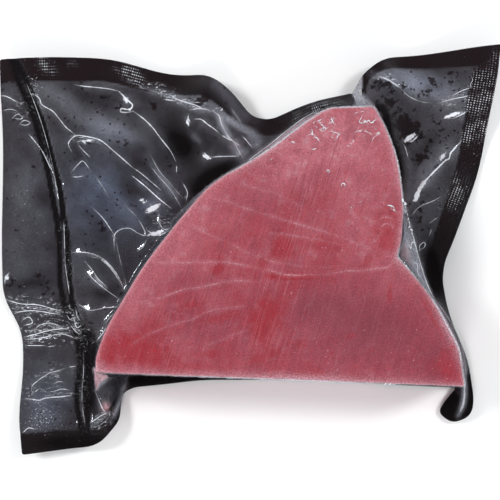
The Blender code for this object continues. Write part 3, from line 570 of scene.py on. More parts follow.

# Where meat juice lies between the films and they look black; beside the steak's edges it is painted shade
WET_AND_SHADE = [
    (-16.0, 29.5, 14.0, 5.0, 36.0, 1.0), (58.5, 42.0, 18.0, 3.4, -70.0, 1.0),
    (-33.0, 46.0, 12.0, 8.0, 90.0, 0.6), (-37.5, -54.0, 24.0, 2.4, 4.0, 1.2),
    (-92.0, -14.0, 10.0, 3.0, 8.0, 0.5), (-61.0, -18.0, 7.0, 3.5, 0.0, 0.6),
    (76.5, -9.0, 14.0, 4.0, 100.0, 1.0), (92.5, -54.0, 16.0, 2.5, 90.0, 1.2),
    (-53.0, -68.0, 6.0, 5.0, 0.0, 1.2), (82.5, -65.0, 5.0, 8.0, 0.0, 1.4),
    (-67.0, -56.0, 4.0, 16.0, 0.0, 1.0), (-56.2, -58.5, 1.7, 8.0, 0.0, 1.3),
    (-67.5, -40.0, 4.0, 8.0, 0.0, 1.0), (-62.0, 62.0, 10.0, 4.0, -10.0, 0.3),
    (-25.0, 42.0, 8.0, 9.0, 0.0, 0.5), (88.0, 2.0, 4.0, 14.0, -12.0, 0.6),
    (30.0, 58.5, 14.0, 3.0, 10.0, 0.7), (-62.0, -6.0, 7.0, 5.0, -30.0, 0.3),
    (-62.0, 6.0, 7.0, 7.0, 0.0, 0.3), (74.0, 44.0, 12.0, 14.0, 0.0, 0.25),
    (-74.0, -80.0, 24.0, 5.0, 2.0, 0.8), (92.0, 24.0, 3.5, 14.0, -16.0, 0.5),
    (55.0, 54.5, 3.4, 6.0, 10.0, 1.0), (78.5, -46.5, 6.5, 8.0, 20.0, 0.6),
    (-20.0, 66.0, 14.0, 3.0, -20.0, 0.4), (92.0, -66.0, 5.0, 6.0, 0.0, 1.0),
]
# Its pools, which have ragged edges, and where it has dried in drops
POOLS = [
    (62.0, 54.0, 5.9, 4.6, -25.0, 0.68), (66.5, 51.0, 5.4, 4.1, -40.0, 0.68),
    (66.0, 46.5, 3.5, 4.1, -50.0, 0.52), (57.6, 61.3, 3.5, 2.7, 0.0, 0.65),
    (76.2, 69.2, 3.5, 2.2, 0.0, 0.52), (73.1, 64.4, 3.5, 2.2, 0.0, 0.52), (70.5, 47.7, 2.2, 2.4, 0.0, 0.52),
    (72.5, 39.5, 3.5, 2.4, 20.0, 0.59), (-19.2, 63.5, 3.5, 3.0, 0.0, 0.65),
    (52.5, 58.0, 4.1, 3.2, 0.0, 0.45), (56.5, 68.4, 8.1, 3.2, -6.0, 0.65),
    (62.0, 36.5, 2.4, 6.1, 0.0, 0.59), (75.0, 32.0, 3.0, 1.6, 20.0, 0.52),
    (-59.0, 61.0, 6.8, 2.7, -30.0, 0.45), (-52.0, 44.0, 6.1, 2.2, -30.0, 0.45),
    (78.5, 49.0, 5.4, 6.8, 0.0, 0.32), (-22.0, 60.8, 4.9, 2.4, -10.0, 0.52),
    (71.0, 37.5, 4.1, 2.7, 0.0, 0.39), (85.5, 70.0, 6.8, 4.1, -20.0, 0.45),
    (69.5, 14.0, 2.2, 6.1, -10.0, 0.52), (-40.0, 60.0, 4.1, 4.1, 0.0, 0.26),
    (-99.0, -14.0, 4.1, 4.9, 0.0, 0.39), (-89.0, -12.0, 5.4, 3.0, 20.0, 0.39),
    (-84.0, -17.0, 4.6, 3.2, 0.0, 0.39), (-91.0, -46.0, 4.1, 2.7, 20.0, 0.32),
    (-70.0, -30.0, 5.4, 5.4, 0.0, 0.45), (-60.0, 12.0, 8.1, 4.1, 60.0, 0.32),
]
DROPS = [
    (-62.0, 54.0, 24.0, 9.0, -32.0, 1.0), (76.0, 58.0, 16.0, 14.0, 0.0, 1.0),
    (-80.0, 62.0, 10.0, 8.0, 0.0, 0.8), (-60.0, 20.0, 14.0, 24.0, 0.0, 0.5),
    (-95.0, 30.0, 10.0, 30.0, 0.0, 0.25), (80.0, 18.0, 8.0, 20.0, -15.0, 0.8),
    (-28.0, 66.0, 16.0, 4.0, -12.0, 0.5),
]

# Where the clear film mirrors a lamp in a ragged patch
GLARES = [
    (-40.2, 17.4, 3.6, 1.2, 30.0, 1.3), (-44.5, 20.5, 3.0, 1.2, -35.0, 0.75),
    (-38.8, 7.0, 4.2, 0.9, 14.0, 1.2), (-18.2, 38.8, 2.0, 0.9, -30.0, 1.2),
    (-26.0, 53.2, 0.8, 1.8, 10.0, 1.1), (-51.5, 62.0, 2.0, 1.4, -60.0, 0.9),
    (66.5, 46.8, 3.2, 1.1, 32.0, 1.3), (69.3, 22.0, 2.2, 1.0, 62.0, 1.3), (84.5, 56.2, 4.5, 0.8, 18.0, 1.2),
    (-67.0, 45.6, 2.4, 0.6, 5.0, 0.9), (60.8, 19.6, 1.1, 0.7, -20.0, 1.1),
    (-101.5, -11.5, 1.0, 1.6, -30.0, 0.9), (71.3, 26.6, 3.6, 0.9, 58.0, 1.2),
    (80.0, 38.5, 2.6, 1.0, 53.0, 0.9), (-69.0, 44.5, 0.6, 1.6, 30.0, 0.6),
]

# Where the clear film spans from the steak's rim to its foot as a milky web
WEBS = [
    (67.0, -2.0, 22.0, 6.0, -68.0, 0.46), (84.0, -33.0, 18.0, 3.0, -62.0, 0.25),
    (81.6, -34.6, 13.0, 2.0, -65.0, 0.55), (88.5, -58.0, 10.0, 2.0, 90.0, 0.4),
    (49.0, 60.0, 8.0, 6.0, 0.0, 0.4), (-60.0, -59.0, 6.0, 4.0, 90.0, 0.06),
    (-59.6, -65.4, 1.6, 2.4, 20.0, 0.32), (17.0, 48.0, 18.0, 3.4, 38.0, 0.6),
    (-20.0, 25.0, 20.0, 2.5, 42.0, 0.2), (-48.0, -14.0, 26.0, 2.5, 58.0, 0.06),
]
# Where the film's fold over the steak's rim catches the light
RIM_LIGHT = [
    (12.0, 43.0, 26.0, 8.0, 38.0, 0.35), (-38.0, -8.0, 36.0, 7.0, 58.0, 0.12),
    (58.0, 35.0, 24.0, 6.0, -75.0, 0.28), (78.0, -33.0, 18.0, 6.0, -64.0, 0.45),
    (10.0, -51.0, 60.0, 3.0, -2.0, 0.25), (62.0, -6.0, 5.0, 8.0, 30.0, 0.28),
    (42.0, 57.0, 10.0, 3.0, 0.0, 0.25),
]

# Where the haze is bluish, where it is thin over the black: x, y, half length, half width, turn, strength
COOL = [
    (-60.0, 20.0, 22.0, 24.0, 20.0, 1.0), (72.0, 69.0, 16.0, 6.0, -6.0, 0.3),
    (-84.0, -64.0, 12.0, 14.0, 0.0, 0.6), (-90.0, -14.0, 10.0, 12.0, 0.0, 0.3),
]

# Where meat close under the film tints the haze
RUDDY = [
    (-59.9, -65.8, 2.0, 2.6, 0.0, 1.2), (82.0, -35.0, 13.0, 2.0, -65.0, 1.0),
    (62.0, -1.5, 2.6, 4.0, 20.0, 0.5), (58.0, 38.0, 20.0, 2.4, -74.0, 0.7),
    (12.0, 44.0, 28.0, 2.4, 38.0, 0.6), (-38.0, -8.0, 36.0, 2.4, 58.0, 0.8),
]

# Where the slab's frosted side shows below its corner
FROSTED_CORNER = [
    (-65.0, -48.6, 0.5), (-57.0, -49.6, 0.5), (-57.0, -51.2, 0.5), (-61.5, -54.0, 1.0), (-64.0, -58.5, 0.5),
]

# Where the welded band is tilted to the light and its knurl shows
KNURL_SHOWS = [
    (-84.2, 76.4, 3.8, 1.8, -50.0, 1.2), (-50.3, 74.0, 6.5, 2.2, -39.0, 1.2),
    (96.0, 70.0, 6.0, 3.6, 0.0, 0.6), (95.0, 61.5, 7.0, 3.0, 20.0, 1.1), (93.0, 49.5, 7.5, 3.4, 25.0, 1.2),
    (86.0, 24.0, 5.0, 6.0, 0.0, 0.7), (100.5, 79.0, 2.5, 3.5, 0.0, 0.3), (-73.5, 77.0, 1.6, 1.6, 0.0, 0.5),
    (28.0, 58.5, 9.0, 3.0, 15.0, 0.6), (72.0, -76.0, 3.0, 3.0, 0.0, 0.5),
]

# The septa between the steak's muscle blocks: strength, points
SEPTA = [
    (0.45, [(-5.5, 28.5), (-1.5, 26.0), (3.5, 24.0), (9.5, 22.5), (16.0, 19.5), (22.0, 16.0)]),
    (0.75, [(-17.5, 20.0), (-9.5, 19.5), (-4.5, 17.5), (8.5, 13.5), (24.0, 9.0), (39.0, 4.0), (53.0, -2.0),
           (58.0, -4.5)]),
    (0.55, [(4.0, 8.0), (12.5, 6.0), (26.5, 4.5), (38.5, 1.5), (52.0, -0.5), (57.5, -2.5)]),
    (0.5, [(-25.0, 10.0), (-14.0, 5.5), (-4.0, 0.5), (9.0, -4.5), (16.0, -5.5), (27.0, -7.0), (37.5, -6.5)]),
    (1.0, [(-39.5, -5.0), (-24.0, -5.0), (-9.0, -5.0), (6.5, -7.5), (13.5, -9.5), (30.0, -9.5), (44.0, -8.0),
           (53.0, -7.0), (58.0, -5.0)]),
    (0.9, [(-45.0, -21.0), (-34.5, -18.5), (-27.0, -16.0), (-17.5, -14.5), (-9.0, -12.5), (4.5, -12.5)]),
    (0.45, [(-48.0, -38.0), (-39.5, -33.0), (-26.5, -28.5), (-14.5, -24.0), (-1.0, -22.0)]),
    (0.35, [(-20.0, -39.0), (-9.0, -34.5), (0.5, -31.0)]),
    # The saw's first bite, just in from the long side
    (0.8, [(-3.0, 32.5), (5.0, 37.5), (10.5, 40.5), (19.0, 43.5)]),
    (0.35, [(28.5, 19.5), (33.5, 18.0)]), (0.3, [(13.0, 18.0), (20.0, 13.5)]),
    # The whorl by the notch
    (0.85, [(50.5, 11.0), (53.0, 13.0), (56.0, 12.5), (57.5, 10.5)]),
    (0.85, [(50.5, 7.0), (52.0, 9.5), (54.5, 10.5), (56.5, 9.5), (56.5, 7.0)]),
    (0.5, [(51.5, 3.0), (50.5, 5.0), (52.5, 7.5), (54.5, 7.5)]),
]

# Blood near the sawn face, where the frost has rubbed off: x, y, half length, half width, turn, strength
BLOOD = [
    (6.0, -28.5, 9.0, 5.5, 72.0, 0.95), (15.0, -10.5, 11.0, 1.6, -2.0, 1.0),
    (13.0, 1.0, 5.5, 4.5, 60.0, 0.85), (14.0, -19.0, 9.0, 4.0, 70.0, 0.5),
    (-12.5, -7.5, 3.2, 2.0, 30.0, 0.7), (4.5, -5.0, 2.2, 2.6, 0.0, 0.6),
    (-12.5, -27.0, 6.5, 1.5, 12.0, 0.6), (-15.5, -41.0, 3.4, 1.5, 5.0, 0.6),
    (6.0, -42.0, 5.5, 2.0, 20.0, 0.6), (-46.0, -40.0, 14.0, 6.0, -8.0, 1.0),
    (-41.0, -34.0, 9.0, 5.0, 60.0, 0.45), (-28.0, -46.5, 14.0, 1.8, 0.0, 0.5),
    (79.0, -46.0, 5.0, 6.5, 20.0, 0.5), (72.5, -46.5, 3.0, 4.0, 0.0, 0.25),
    (54.5, 8.0, 5.0, 8.0, -8.0, 0.72), (55.5, -16.5, 0.9, 4.5, -8.0, 0.6),
    (72.5, -27.0, 1.0, 9.0, 28.0, 0.6), (46.5, -4.5, 1.6, 3.4, -20.0, 0.4),
    (-13.0, 28.0, 11.0, 2.6, 38.0, 0.5), (34.0, 56.5, 6.0, 2.0, 0.0, 0.4),
    (25.0, 3.0, 16.0, 3.2, -8.0, 0.35), (-24.0, -22.0, 3.0, 1.2, 0.0, 0.5),
    (40.0, -34.0, 2.0, 1.2, 30.0, 0.5), (20.0, -37.0, 2.0, 1.4, 0.0, 0.4),
    (22.0, -49.0, 8.0, 1.0, 0.0, 0.6),
]
# Pale frost bloom over the thick end, partly a painted sheen of the film over it, and dusky muscle
BLOOM_AND_SHEEN = [
    (36.0, 46.0, 26.0, 14.0, 20.0, 0.75), (14.0, 33.0, 22.0, 8.0, 38.0, 0.35),
    (46.0, 20.0, 12.0, 22.0, 0.0, 0.4), (-32.0, -4.0, 30.0, 7.0, 55.0, 0.4),
    (60.0, -14.0, 10.0, 7.0, -40.0, 0.3), (-20.0, 10.0, 16.0, 8.0, 40.0, 0.2),
]
DUSK = [
    (48.0, -30.0, 30.0, 16.0, -10.0, 0.8), (24.0, -22.0, 12.0, 6.0, 20.0, 0.4),
    (77.0, -46.0, 8.0, 8.0, 0.0, 1.0), (-24.0, -13.0, 14.0, 4.0, 5.0, 0.35),
    (-18.0, -30.0, 16.0, 9.0, 0.0, 0.35), (2.0, 20.0, 12.0, 6.0, 0.0, 0.3),
]
# Frost along the sawn face's edges
EDGE_FROST = [
    (8.0, 42.0, 30.0, 5.0, 40.0, 0.7), (57.5, 38.0, 4.0, 18.0, 15.0, 0.6),
    (-60.0, -47.0, 4.0, 3.0, 0.0, 0.8), (20.0, -50.5, 75.0, 2.2, -2.5, 0.6),
    (20.0, -50.0, 16.0, 2.0, -2.0, 0.5), (60.0, 4.0, 3.0, 10.0, 0.0, 0.6),
    (56.5, -4.0, 5.0, 3.0, 10.0, 0.5), (62.0, -6.0, 5.0, 7.0, 30.0, 0.4),
    (-38.0, -10.0, 38.0, 6.0, 58.0, 0.3), (78.5, -33.0, 13.0, 3.0, -64.0, 0.9),
]
# Where the slab's side spreads below the sawn face: x, y, radius, how far along x and y
FLARES = [(-61.5, -48.5, 4.0, 0.2, -2.0), (78.0, -33.0, 12.0, 0.8, 0.35), (84.4, -53.0, 6.0, 0.6, -0.3)]

# Where the saw's teeth have scored the face most
SCORED = [
    (35.5, 35.0, 9.0, 4.0, 72.0, 1.3), (24.0, 22.0, 20.0, 8.0, 68.0, 0.8),
    (13.0, -14.0, 20.0, 9.0, 70.0, 0.9), (6.0, -38.0, 13.0, 9.0, 75.0, 0.5),
    (-34.0, -36.0, 11.0, 9.0, 75.0, 0.5), (-20.0, -12.0, 14.0, 7.0, 75.0, 0.35),
]


@dataclass
class PackForm:
    """The pack's plan and the heights of its films, in millimetres.

    Attributes:
        floor: level of the back film's face under the steak.
        top: level of the steak's sawn face.
        lip: how far past the steak's side the front film stays level.
        rest: lowest level of the margins.
        seal_press: how deep the mouth's seal lines are pressed.
        seal_half_width: half the width of each pressed line.
        fold_radius: how round the main creases' crests are.
        crease_radius: how round the fine creases' crests are.
        line_half_width: half the bright line along a crease 1 mm wide.
    """

    floor: float
    top: float
    lip: float = 0.45
    rest: float = 0.6
    seal_press: float = 0.45
    seal_half_width: float = 1.35
    fold_radius: float = 0.5
    crease_radius: float = 0.35
    line_half_width: float = 0.12
    steak: np.ndarray = field(default_factory=lambda: rounded_path(STEAK_OUTLINE))
    foot: np.ndarray = field(default_factory=lambda: rounded_path(FOOT_OUTLINE))
    pouch: np.ndarray = field(default_factory=lambda: rounded_path(SEALED_EDGE + MOUTH_EDGE))
    notch: np.ndarray = field(default_factory=lambda: rounded_path(BACK_NOTCH))

    def folds(self, points: np.ndarray) -> np.ndarray:
        """Height that the main creases raise the film by."""
        relief = np.zeros(len(points))
        for height, half_width, crest in FOLDS:
            path = np.array(crest)
            gap, travelled, _ = nearest_on_path(path, points)
            taper = np.clip(np.minimum(travelled, path_length(path) - travelled) / half_width, 0.25, 1.0)
            blunt = np.sqrt(gap ** 2 + self.fold_radius ** 2)
            relief += height * taper * (0.45 * np.exp(-(gap / (1.3 * half_width)) ** 2)
                                        + 0.16 * np.exp(-blunt / 1.2))
        return relief

    def creases(self, points: np.ndarray) -> dict[str, np.ndarray]:
        """Work out the clear film's fine creases.

        Args:
            points: x and y of each point.

        Returns:
            The height they add, the painted highlight and whitening of the nearest crest, the distance to it
            in half widths of its bright line, negative on its right, and the soft light that hangs about it.
        """
        relief, white, glow = np.zeros((3, len(points)))
        across = np.full(len(points), FAR)
        nearest = np.full(len(points), FAR)
        fade = 0.7 + 0.9 * rough_field(points, 7.0, 6.6, 2)
        curls = [(0.12, 2.0 * half_width, whitening_and_highlight, curl) for half_width, whitening_and_highlight, curl in STEAK_CURLS]
        for height, half_width, whitening_and_highlight, crest in FINE_CREASES + curls:
            line = flowing_line(crest)
            reach = max(4 * half_width, 4.0)
            near = np.nonzero(np.all((points[:, :2] > line[:, :2].min(axis=0) - reach)
                                     & (points[:, :2] < line[:, :2].max(axis=0) + reach), axis=1))[0]
            side, from_end = beside_line(line, points[near])
            gap = np.abs(side)
            taper = np.clip(from_end / min(2.5 * half_width, 0.2 * path_length(line)), 0.3, 1.0)
            blunt = np.sqrt(gap ** 2 + self.crease_radius ** 2)
            relief[near] += 0.8 * height * np.maximum(taper, 0.15) * np.exp(-blunt / half_width * 2.0)
            lit = whitening_and_highlight * taper * np.clip(fade[near] + 0.3 * (whitening_and_highlight - 0.6), 0.15, 1.15)
            glow[near] = np.maximum(glow[near], lit * np.exp(-(gap / (1.1 * half_width)) ** 2))
            closer = gap < nearest[near]
            chosen = near[closer]
            nearest[chosen] = gap[closer]
            across[chosen] = side[closer] / (self.line_half_width * (0.45 + 0.55 * half_width))
            white[chosen] = lit[closer] * np.exp(-(gap[closer] / 0.9) ** 2)
        return {"relief": relief, "white": white, "across": across, "glow": glow}

    def streaks(self, points: np.ndarray) -> np.ndarray:
        """How milky the broad soft streaks make the clear film, partly a painted sheen."""
        total = np.zeros(len(points))
        for half_width, strength, crest in STREAKS:
            line = flowing_line(crest)
            side, from_end = beside_line(line, points)
            taper = np.clip(from_end / min(4.0, 0.25 * path_length(line)), 0.3, 1.0)
            total = np.maximum(total, strength * taper * np.exp(-(side / half_width) ** 2))
        return total

    def crease_gap(self, points: np.ndarray) -> np.ndarray:
        """Distance to the nearest crease or pressed line."""
        nearest = np.full(len(points), 1e3)
        crests = [crest for *_, crest in FINE_CREASES + STEAK_CURLS] + MOUTH_SEALS
        for crest in crests:
            gap, _, _ = nearest_on_path(flowing_line(crest, 2), points)
            nearest = np.minimum(nearest, gap)
        return nearest

    def seal_lines(self, points: np.ndarray) -> np.ndarray:
        """1 on the mouth's two pressed lines, 0 off them."""
        pressed = np.zeros(len(points))
        for line in MOUTH_SEALS:
            gap, _, _ = nearest_on_path(np.array(line), points)
            line_press = smooth_step(self.seal_half_width + 0.35, self.seal_half_width - 0.25, gap)
            pressed = np.maximum(pressed, line_press)
        return pressed

    def edge_places(self, points: np.ndarray) -> tuple[np.ndarray, np.ndarray, np.ndarray]:
        """How far along the welded edge each point lies, how far in from it, and the weld's width there."""
        closing = len(MOUTH_EDGE) * (CORNER_STEPS + 1) + 1
        gap, run, values = nearest_on_path(self.pouch[:-closing], points)
        return run, gap, values[:, 2]

    def sealed(self, points: np.ndarray) -> np.ndarray:
        """1 where the two films are welded, 0 where they only lie together."""
        _, inward, width = self.edge_places(points)
        band = smooth_step(0.35, -0.35, inward - width)
        outside = smooth_step(-0.5, 0.5, outside_distance(self.foot, points))
        return np.maximum(band * outside, self.seal_lines(points))

    def margin(self, points: np.ndarray) -> np.ndarray:
        """Level of the joined films out in the margins, without creases."""
        lie = np.full(len(points), self.rest)
        for x, y, radius, height in SWELLS:
            lie += height * np.exp(-np.sum((points[:, :2] - (x, y)) ** 2, axis=1) / radius ** 2)
        seam = np.zeros(len(points))
        reach = np.zeros(len(points))
        for first in range(0, len(points), CHUNK):
            some = points[first:first + CHUNK, None, :2]
            weight = (np.linalg.norm(some - self.foot[None, :, :2], axis=2) + 0.5) ** -3.0
            blended = weight @ self.foot[:, 2:] / np.sum(weight, axis=1)[:, None]
            seam[first:first + CHUNK] = blended[:, 0]
            reach[first:first + CHUNK] = blended[:, 1]
        beyond = np.maximum(outside_distance(self.foot, points), 0.0)
        return lie + (seam - lie) * np.exp(-beyond / reach)

    def levels(self, points: np.ndarray) -> dict[str, np.ndarray]:
        """Work out where both films lie.

        Args:
            points: x and y of each point.

        Returns:
            The front film's lower face, the back film's upper face, and the masks that the finishes use.
        """
        from_steak = outside_distance(self.steak, points)
        from_foot = outside_distance(self.foot, points)
        beyond = np.maximum(from_foot, 0.0)
        folds = self.folds(points) * np.clip(beyond / 3.0, 0.15, 1.0)
        creases = self.creases(points)
        fine = creases["relief"]
        sealed = self.sealed(points)
        lines = self.seal_lines(points)
        flat = self.margin(points) - self.seal_press * lines
        drape = rough_field(points, 22.0, 3.1, 2) * 0.8 * np.clip(beyond / 6.0, 0.0, 1.0)
        rise = folds * (1.0 - 0.45 * sealed) + drape * (1.0 - 0.8 * sealed)
        margin_back = np.maximum(flat + 0.7 * rise, self.rest)
        margin_front = margin_back + 0.06 + (1.0 - sealed) * (0.25 * np.maximum(rise, 0.0) + fine)
        out = np.maximum(from_steak - self.lip, 0.0)
        left = np.maximum(-from_foot, 0.0)
        share = np.where(out + left > 1e-6, out / np.maximum(out + left, 1e-6), 1.0)
        share = np.where(from_steak < self.lip, 0.0, share)
        curve = 1.1 + 3.2 * np.exp(-((out + left) / 4.5) ** 2)
        front = margin_front + (self.top - margin_front) * (1.0 - share) ** curve
        front += fine * (from_foot < 0.0)
        back = self.floor + (margin_back - self.floor) * share
        return {
            "front": front, "back": np.minimum(back, front - 0.05), "sealed": sealed, "lines": lines,
            "from_steak": from_steak, "from_foot": from_foot, **creases,
        }


# ---------------------------------------------------------------- mesh work

def select_only(piece: bpy.types.Object) -> None:
    """Make a piece the only selected and the active object."""
    bpy.ops.object.select_all(action="DESELECT")
    piece.select_set(True)
    bpy.context.view_layer.objects.active = piece


def plan_points(piece: bpy.types.Object) -> np.ndarray:
    """A piece's vertices in millimetres."""
    flat = np.zeros(len(piece.data.vertices) * 3)
    piece.data.vertices.foreach_get("co", flat)
    return flat.reshape(-1, 3) / MM


def place_points(piece: bpy.types.Object, points: np.ndarray) -> None:
    """Move a piece's vertices to places given in millimetres."""
    piece.data.vertices.foreach_set("co", (points * MM).ravel())
    piece.data.update()


def face_middles(piece: bpy.types.Object) -> np.ndarray:
    """The middle of each face, in millimetres."""
    flat = np.zeros(len(piece.data.polygons) * 3)
    piece.data.polygons.foreach_get("center", flat)
    return flat.reshape(-1, 3) / MM


def edit_faces(piece: bpy.types.Object, chosen: np.ndarray, action: Callable[[], object]) -> None:
    """Run an edit mode operator on some of a piece's faces.

    Args:
        piece: the piece.
        chosen: True for each face to select.
        action: calls the operator.
    """
    select_only(piece)
    bpy.ops.object.mode_set(mode="EDIT")
    bpy.ops.mesh.select_mode(type="FACE")
    bpy.ops.mesh.select_all(action="DESELECT")
    bpy.ops.object.mode_set(mode="OBJECT")
    piece.data.polygons.foreach_set("select", chosen)
    bpy.ops.object.mode_set(mode="EDIT")
    action()
    bpy.ops.object.mode_set(mode="OBJECT")


def flat_sheet(name: str, path: np.ndarray, cell: float) -> bpy.types.Object:
    """Lay a flat grid over a closed path's box.

    Args:
        name: the new piece's name.
        path: the closed path.
        cell: the grid's spacing in millimetres.

    Returns:
        The grid, with its place in its mesh.
    """
    low, high = path[:, :2].min(axis=0) - cell, path[:, :2].max(axis=0) + cell
    width, depth = high - low
    middle = (low + high) / 2
    bpy.ops.object.select_all(action="DESELECT")
    bpy.ops.mesh.primitive_grid_add(
        x_subdivisions=int(width / cell), y_subdivisions=int(depth / cell), size=1.0,
        location=(middle[0] * MM, middle[1] * MM, 0.0))
    piece = bpy.context.active_object
    piece.scale = (width * MM, depth * MM, 1.0)
    piece.name = name
    piece.data.name = name
    bpy.ops.object.transform_apply(location=True, rotation=True, scale=True)
    return piece


def refine(piece: bpy.types.Object, chosen: Callable[[np.ndarray], np.ndarray]) -> None:
    """Halve the grid where a rule on the faces' middles says so."""
    mask = chosen(face_middles(piece))
    edit_faces(piece, mask, lambda: bpy.ops.mesh.subdivide(number_cuts=1))


def trim(piece: bpy.types.Object, keep: Callable[[np.ndarray], np.ndarray]) -> None:
    """Cut away the faces whose middles a rule doesn't keep, and then any left hanging by one edge."""
    edit_faces(piece, ~keep(face_middles(piece)), lambda: bpy.ops.mesh.delete(type="FACE"))
    work = bmesh.new()
    work.from_mesh(piece.data)
    while True:
        spurs = [face for face in work.faces
                 if sum(edge.is_boundary for edge in face.edges) >= len(face.edges) - 1]
        if not spurs:
            break
        bmesh.ops.delete(work, geom=spurs, context="FACES")
    work.to_mesh(piece.data)
    work.free()


def rim_vertices(piece: bpy.types.Object) -> np.ndarray:
    """Indices of the vertices on a sheet's cut edge."""
    work = bmesh.new()
    work.from_mesh(piece.data)
    found = [vertex.index for vertex in work.verts if vertex.is_boundary]
    work.free()
    return np.array(found)


def snap_rim(piece: bpy.types.Object, path: np.ndarray, notch: np.ndarray | None = None) -> None:
    """Move a sheet's cut edge onto a closed path, or onto a notch's where that is nearer and inside it."""
    points = plan_points(piece)
    rim = rim_vertices(piece)
    gap, _, places = nearest_on_path(path, points[rim])
    places = places[:, :2]
    if notch is not None:
        notch_gap, _, notch_places = nearest_on_path(notch, points[rim])
        nearer = (notch_gap < gap) & inside(path, notch_places)
        places[nearer] = notch_places[nearer, :2]
    points[rim, :2] = places
    place_points(piece, points)


def store(piece: bpy.types.Object, name: str, values: np.ndarray) -> None:
    """Keep one number per vertex under a name that the finish reads."""
    layer = piece.data.attributes.new(name, "FLOAT", "POINT")
    layer.data.foreach_set("value", np.asarray(values, np.float32))


def thicken(piece: bpy.types.Object, thickness: float, offset: float) -> None:
    """Give a sheet its wall and apply it.

    Args:
        piece: the sheet.
        thickness: the wall in millimetres.
        offset: 1 puts the wall above the sheet, -1 below it.
    """
    select_only(piece)
    wall = piece.modifiers.new("wall", "SOLIDIFY")
    wall.thickness = thickness * MM
    wall.offset = offset
    wall.use_even_offset = False
    bpy.ops.object.modifier_apply(modifier="wall")


def smooth(piece: bpy.types.Object, angle: float) -> None:
    """Shade a piece smooth, but for edges sharper than an angle in degrees."""
    select_only(piece)
    bpy.ops.object.shade_smooth_by_angle(angle=math.radians(angle))


# ---------------------------------------------------------------- finishes

def srgb(code: str) -> tuple[float, float, float, float]:
    """Turn an sRGB hex colour such as '#a9525f' to linear RGBA."""
    channels = [int(code[i:i + 2], 16) / 255 for i in (1, 3, 5)]
    linear = [c / 12.92 if c <= 0.04045 else ((c + 0.055) / 1.055) ** 2.4 for c in channels]
    return (*linear, 1.0)


def add_node(tree: bpy.types.NodeTree, kind: str, settings: dict | None = None,
             inputs: dict | None = None) -> bpy.types.Node:
    """Add a node with its settings and inputs.

    Args:
        tree: the material's or world's tree.
        kind: the node's type.
        settings: properties to set.
        inputs: socket name or number to a value, or to another node's output to link.

    Returns:
        The new node.
    """
    node = tree.nodes.new(kind)
    for name, value in (settings or {}).items():
        setattr(node, name, value)
    for name, value in (inputs or {}).items():
        if isinstance(value, bpy.types.NodeSocket):
            tree.links.new(value, node.inputs[name])
        else:
            node.inputs[name].default_value = value
    return node


def blank_material(name: str) -> tuple[bpy.types.Material, bpy.types.NodeTree, bpy.types.Node]:
    """Make a material with nothing but its output."""
    material = bpy.data.materials.new(name)
    material.use_nodes = True
    tree = material.node_tree
    tree.nodes.clear()
    output = tree.nodes.new("ShaderNodeOutputMaterial")
    return material, tree, output


def ramp(tree: bpy.types.NodeTree, source: bpy.types.NodeSocket, low: float, high: float,
         start: float = 0.0, end: float = 1.0) -> bpy.types.NodeSocket:
    """Map a value from one range to another, held at its ends."""
    node = add_node(tree, "ShaderNodeMapRange", {"clamp": True}, {
        "Value": source, "From Min": low, "From Max": high, "To Min": start, "To Max": end})
    return node.outputs["Result"]


def blend_colour(tree: bpy.types.NodeTree, factor: bpy.types.NodeSocket, first: object,
                 second: object) -> bpy.types.NodeSocket:
    """Mix two colours by a factor."""
    node = add_node(tree, "ShaderNodeMix", {"data_type": "RGBA"}, {0: factor, 6: first, 7: second})
    return node.outputs[2]


def value_of(tree: bpy.types.NodeTree, name: str) -> bpy.types.NodeSocket:
    """Read a number that a mesh keeps per vertex."""
    return add_node(tree, "ShaderNodeAttribute", {"attribute_name": name}).outputs["Fac"]


def times(tree: bpy.types.NodeTree, first: object, second: object,
          operation: str = "MULTIPLY") -> bpy.types.NodeSocket:
    """Join two numbers by a sum, 'MULTIPLY' unless another is named."""
    return add_node(tree, "ShaderNodeMath", {"operation": operation}, {0: first, 1: second}).outputs[0]


def lumps(tree: bpy.types.NodeTree, place: bpy.types.NodeSocket, size_mm: float, detail: float,
          grit: float) -> bpy.types.NodeSocket:
    """Add smooth noise whose lumps are a size across, with finer lumps on them as strong as the grit."""
    return add_node(tree, "ShaderNodeTexNoise", None, {
        "Vector": place, "Scale": 1 / (size_mm * MM), "Detail": detail, "Roughness": grit}).outputs["Fac"]


def knurl_height(tree: bpy.types.NodeTree, pitch: float) -> bpy.types.NodeSocket:
    """Height of the sealing bar's knurl: rows of small teeth, a pitch apart along the weld in millimetres."""
    waves = []
    for name, spacing in (("run", pitch), ("inward", 1.25 * pitch)):
        turn = times(tree, value_of(tree, name), 2 * math.pi / spacing)
        waves.append(ramp(tree, times(tree, turn, 0.0, "SINE"), -0.4, 1.0))
    return times(tree, waves[0], waves[1])


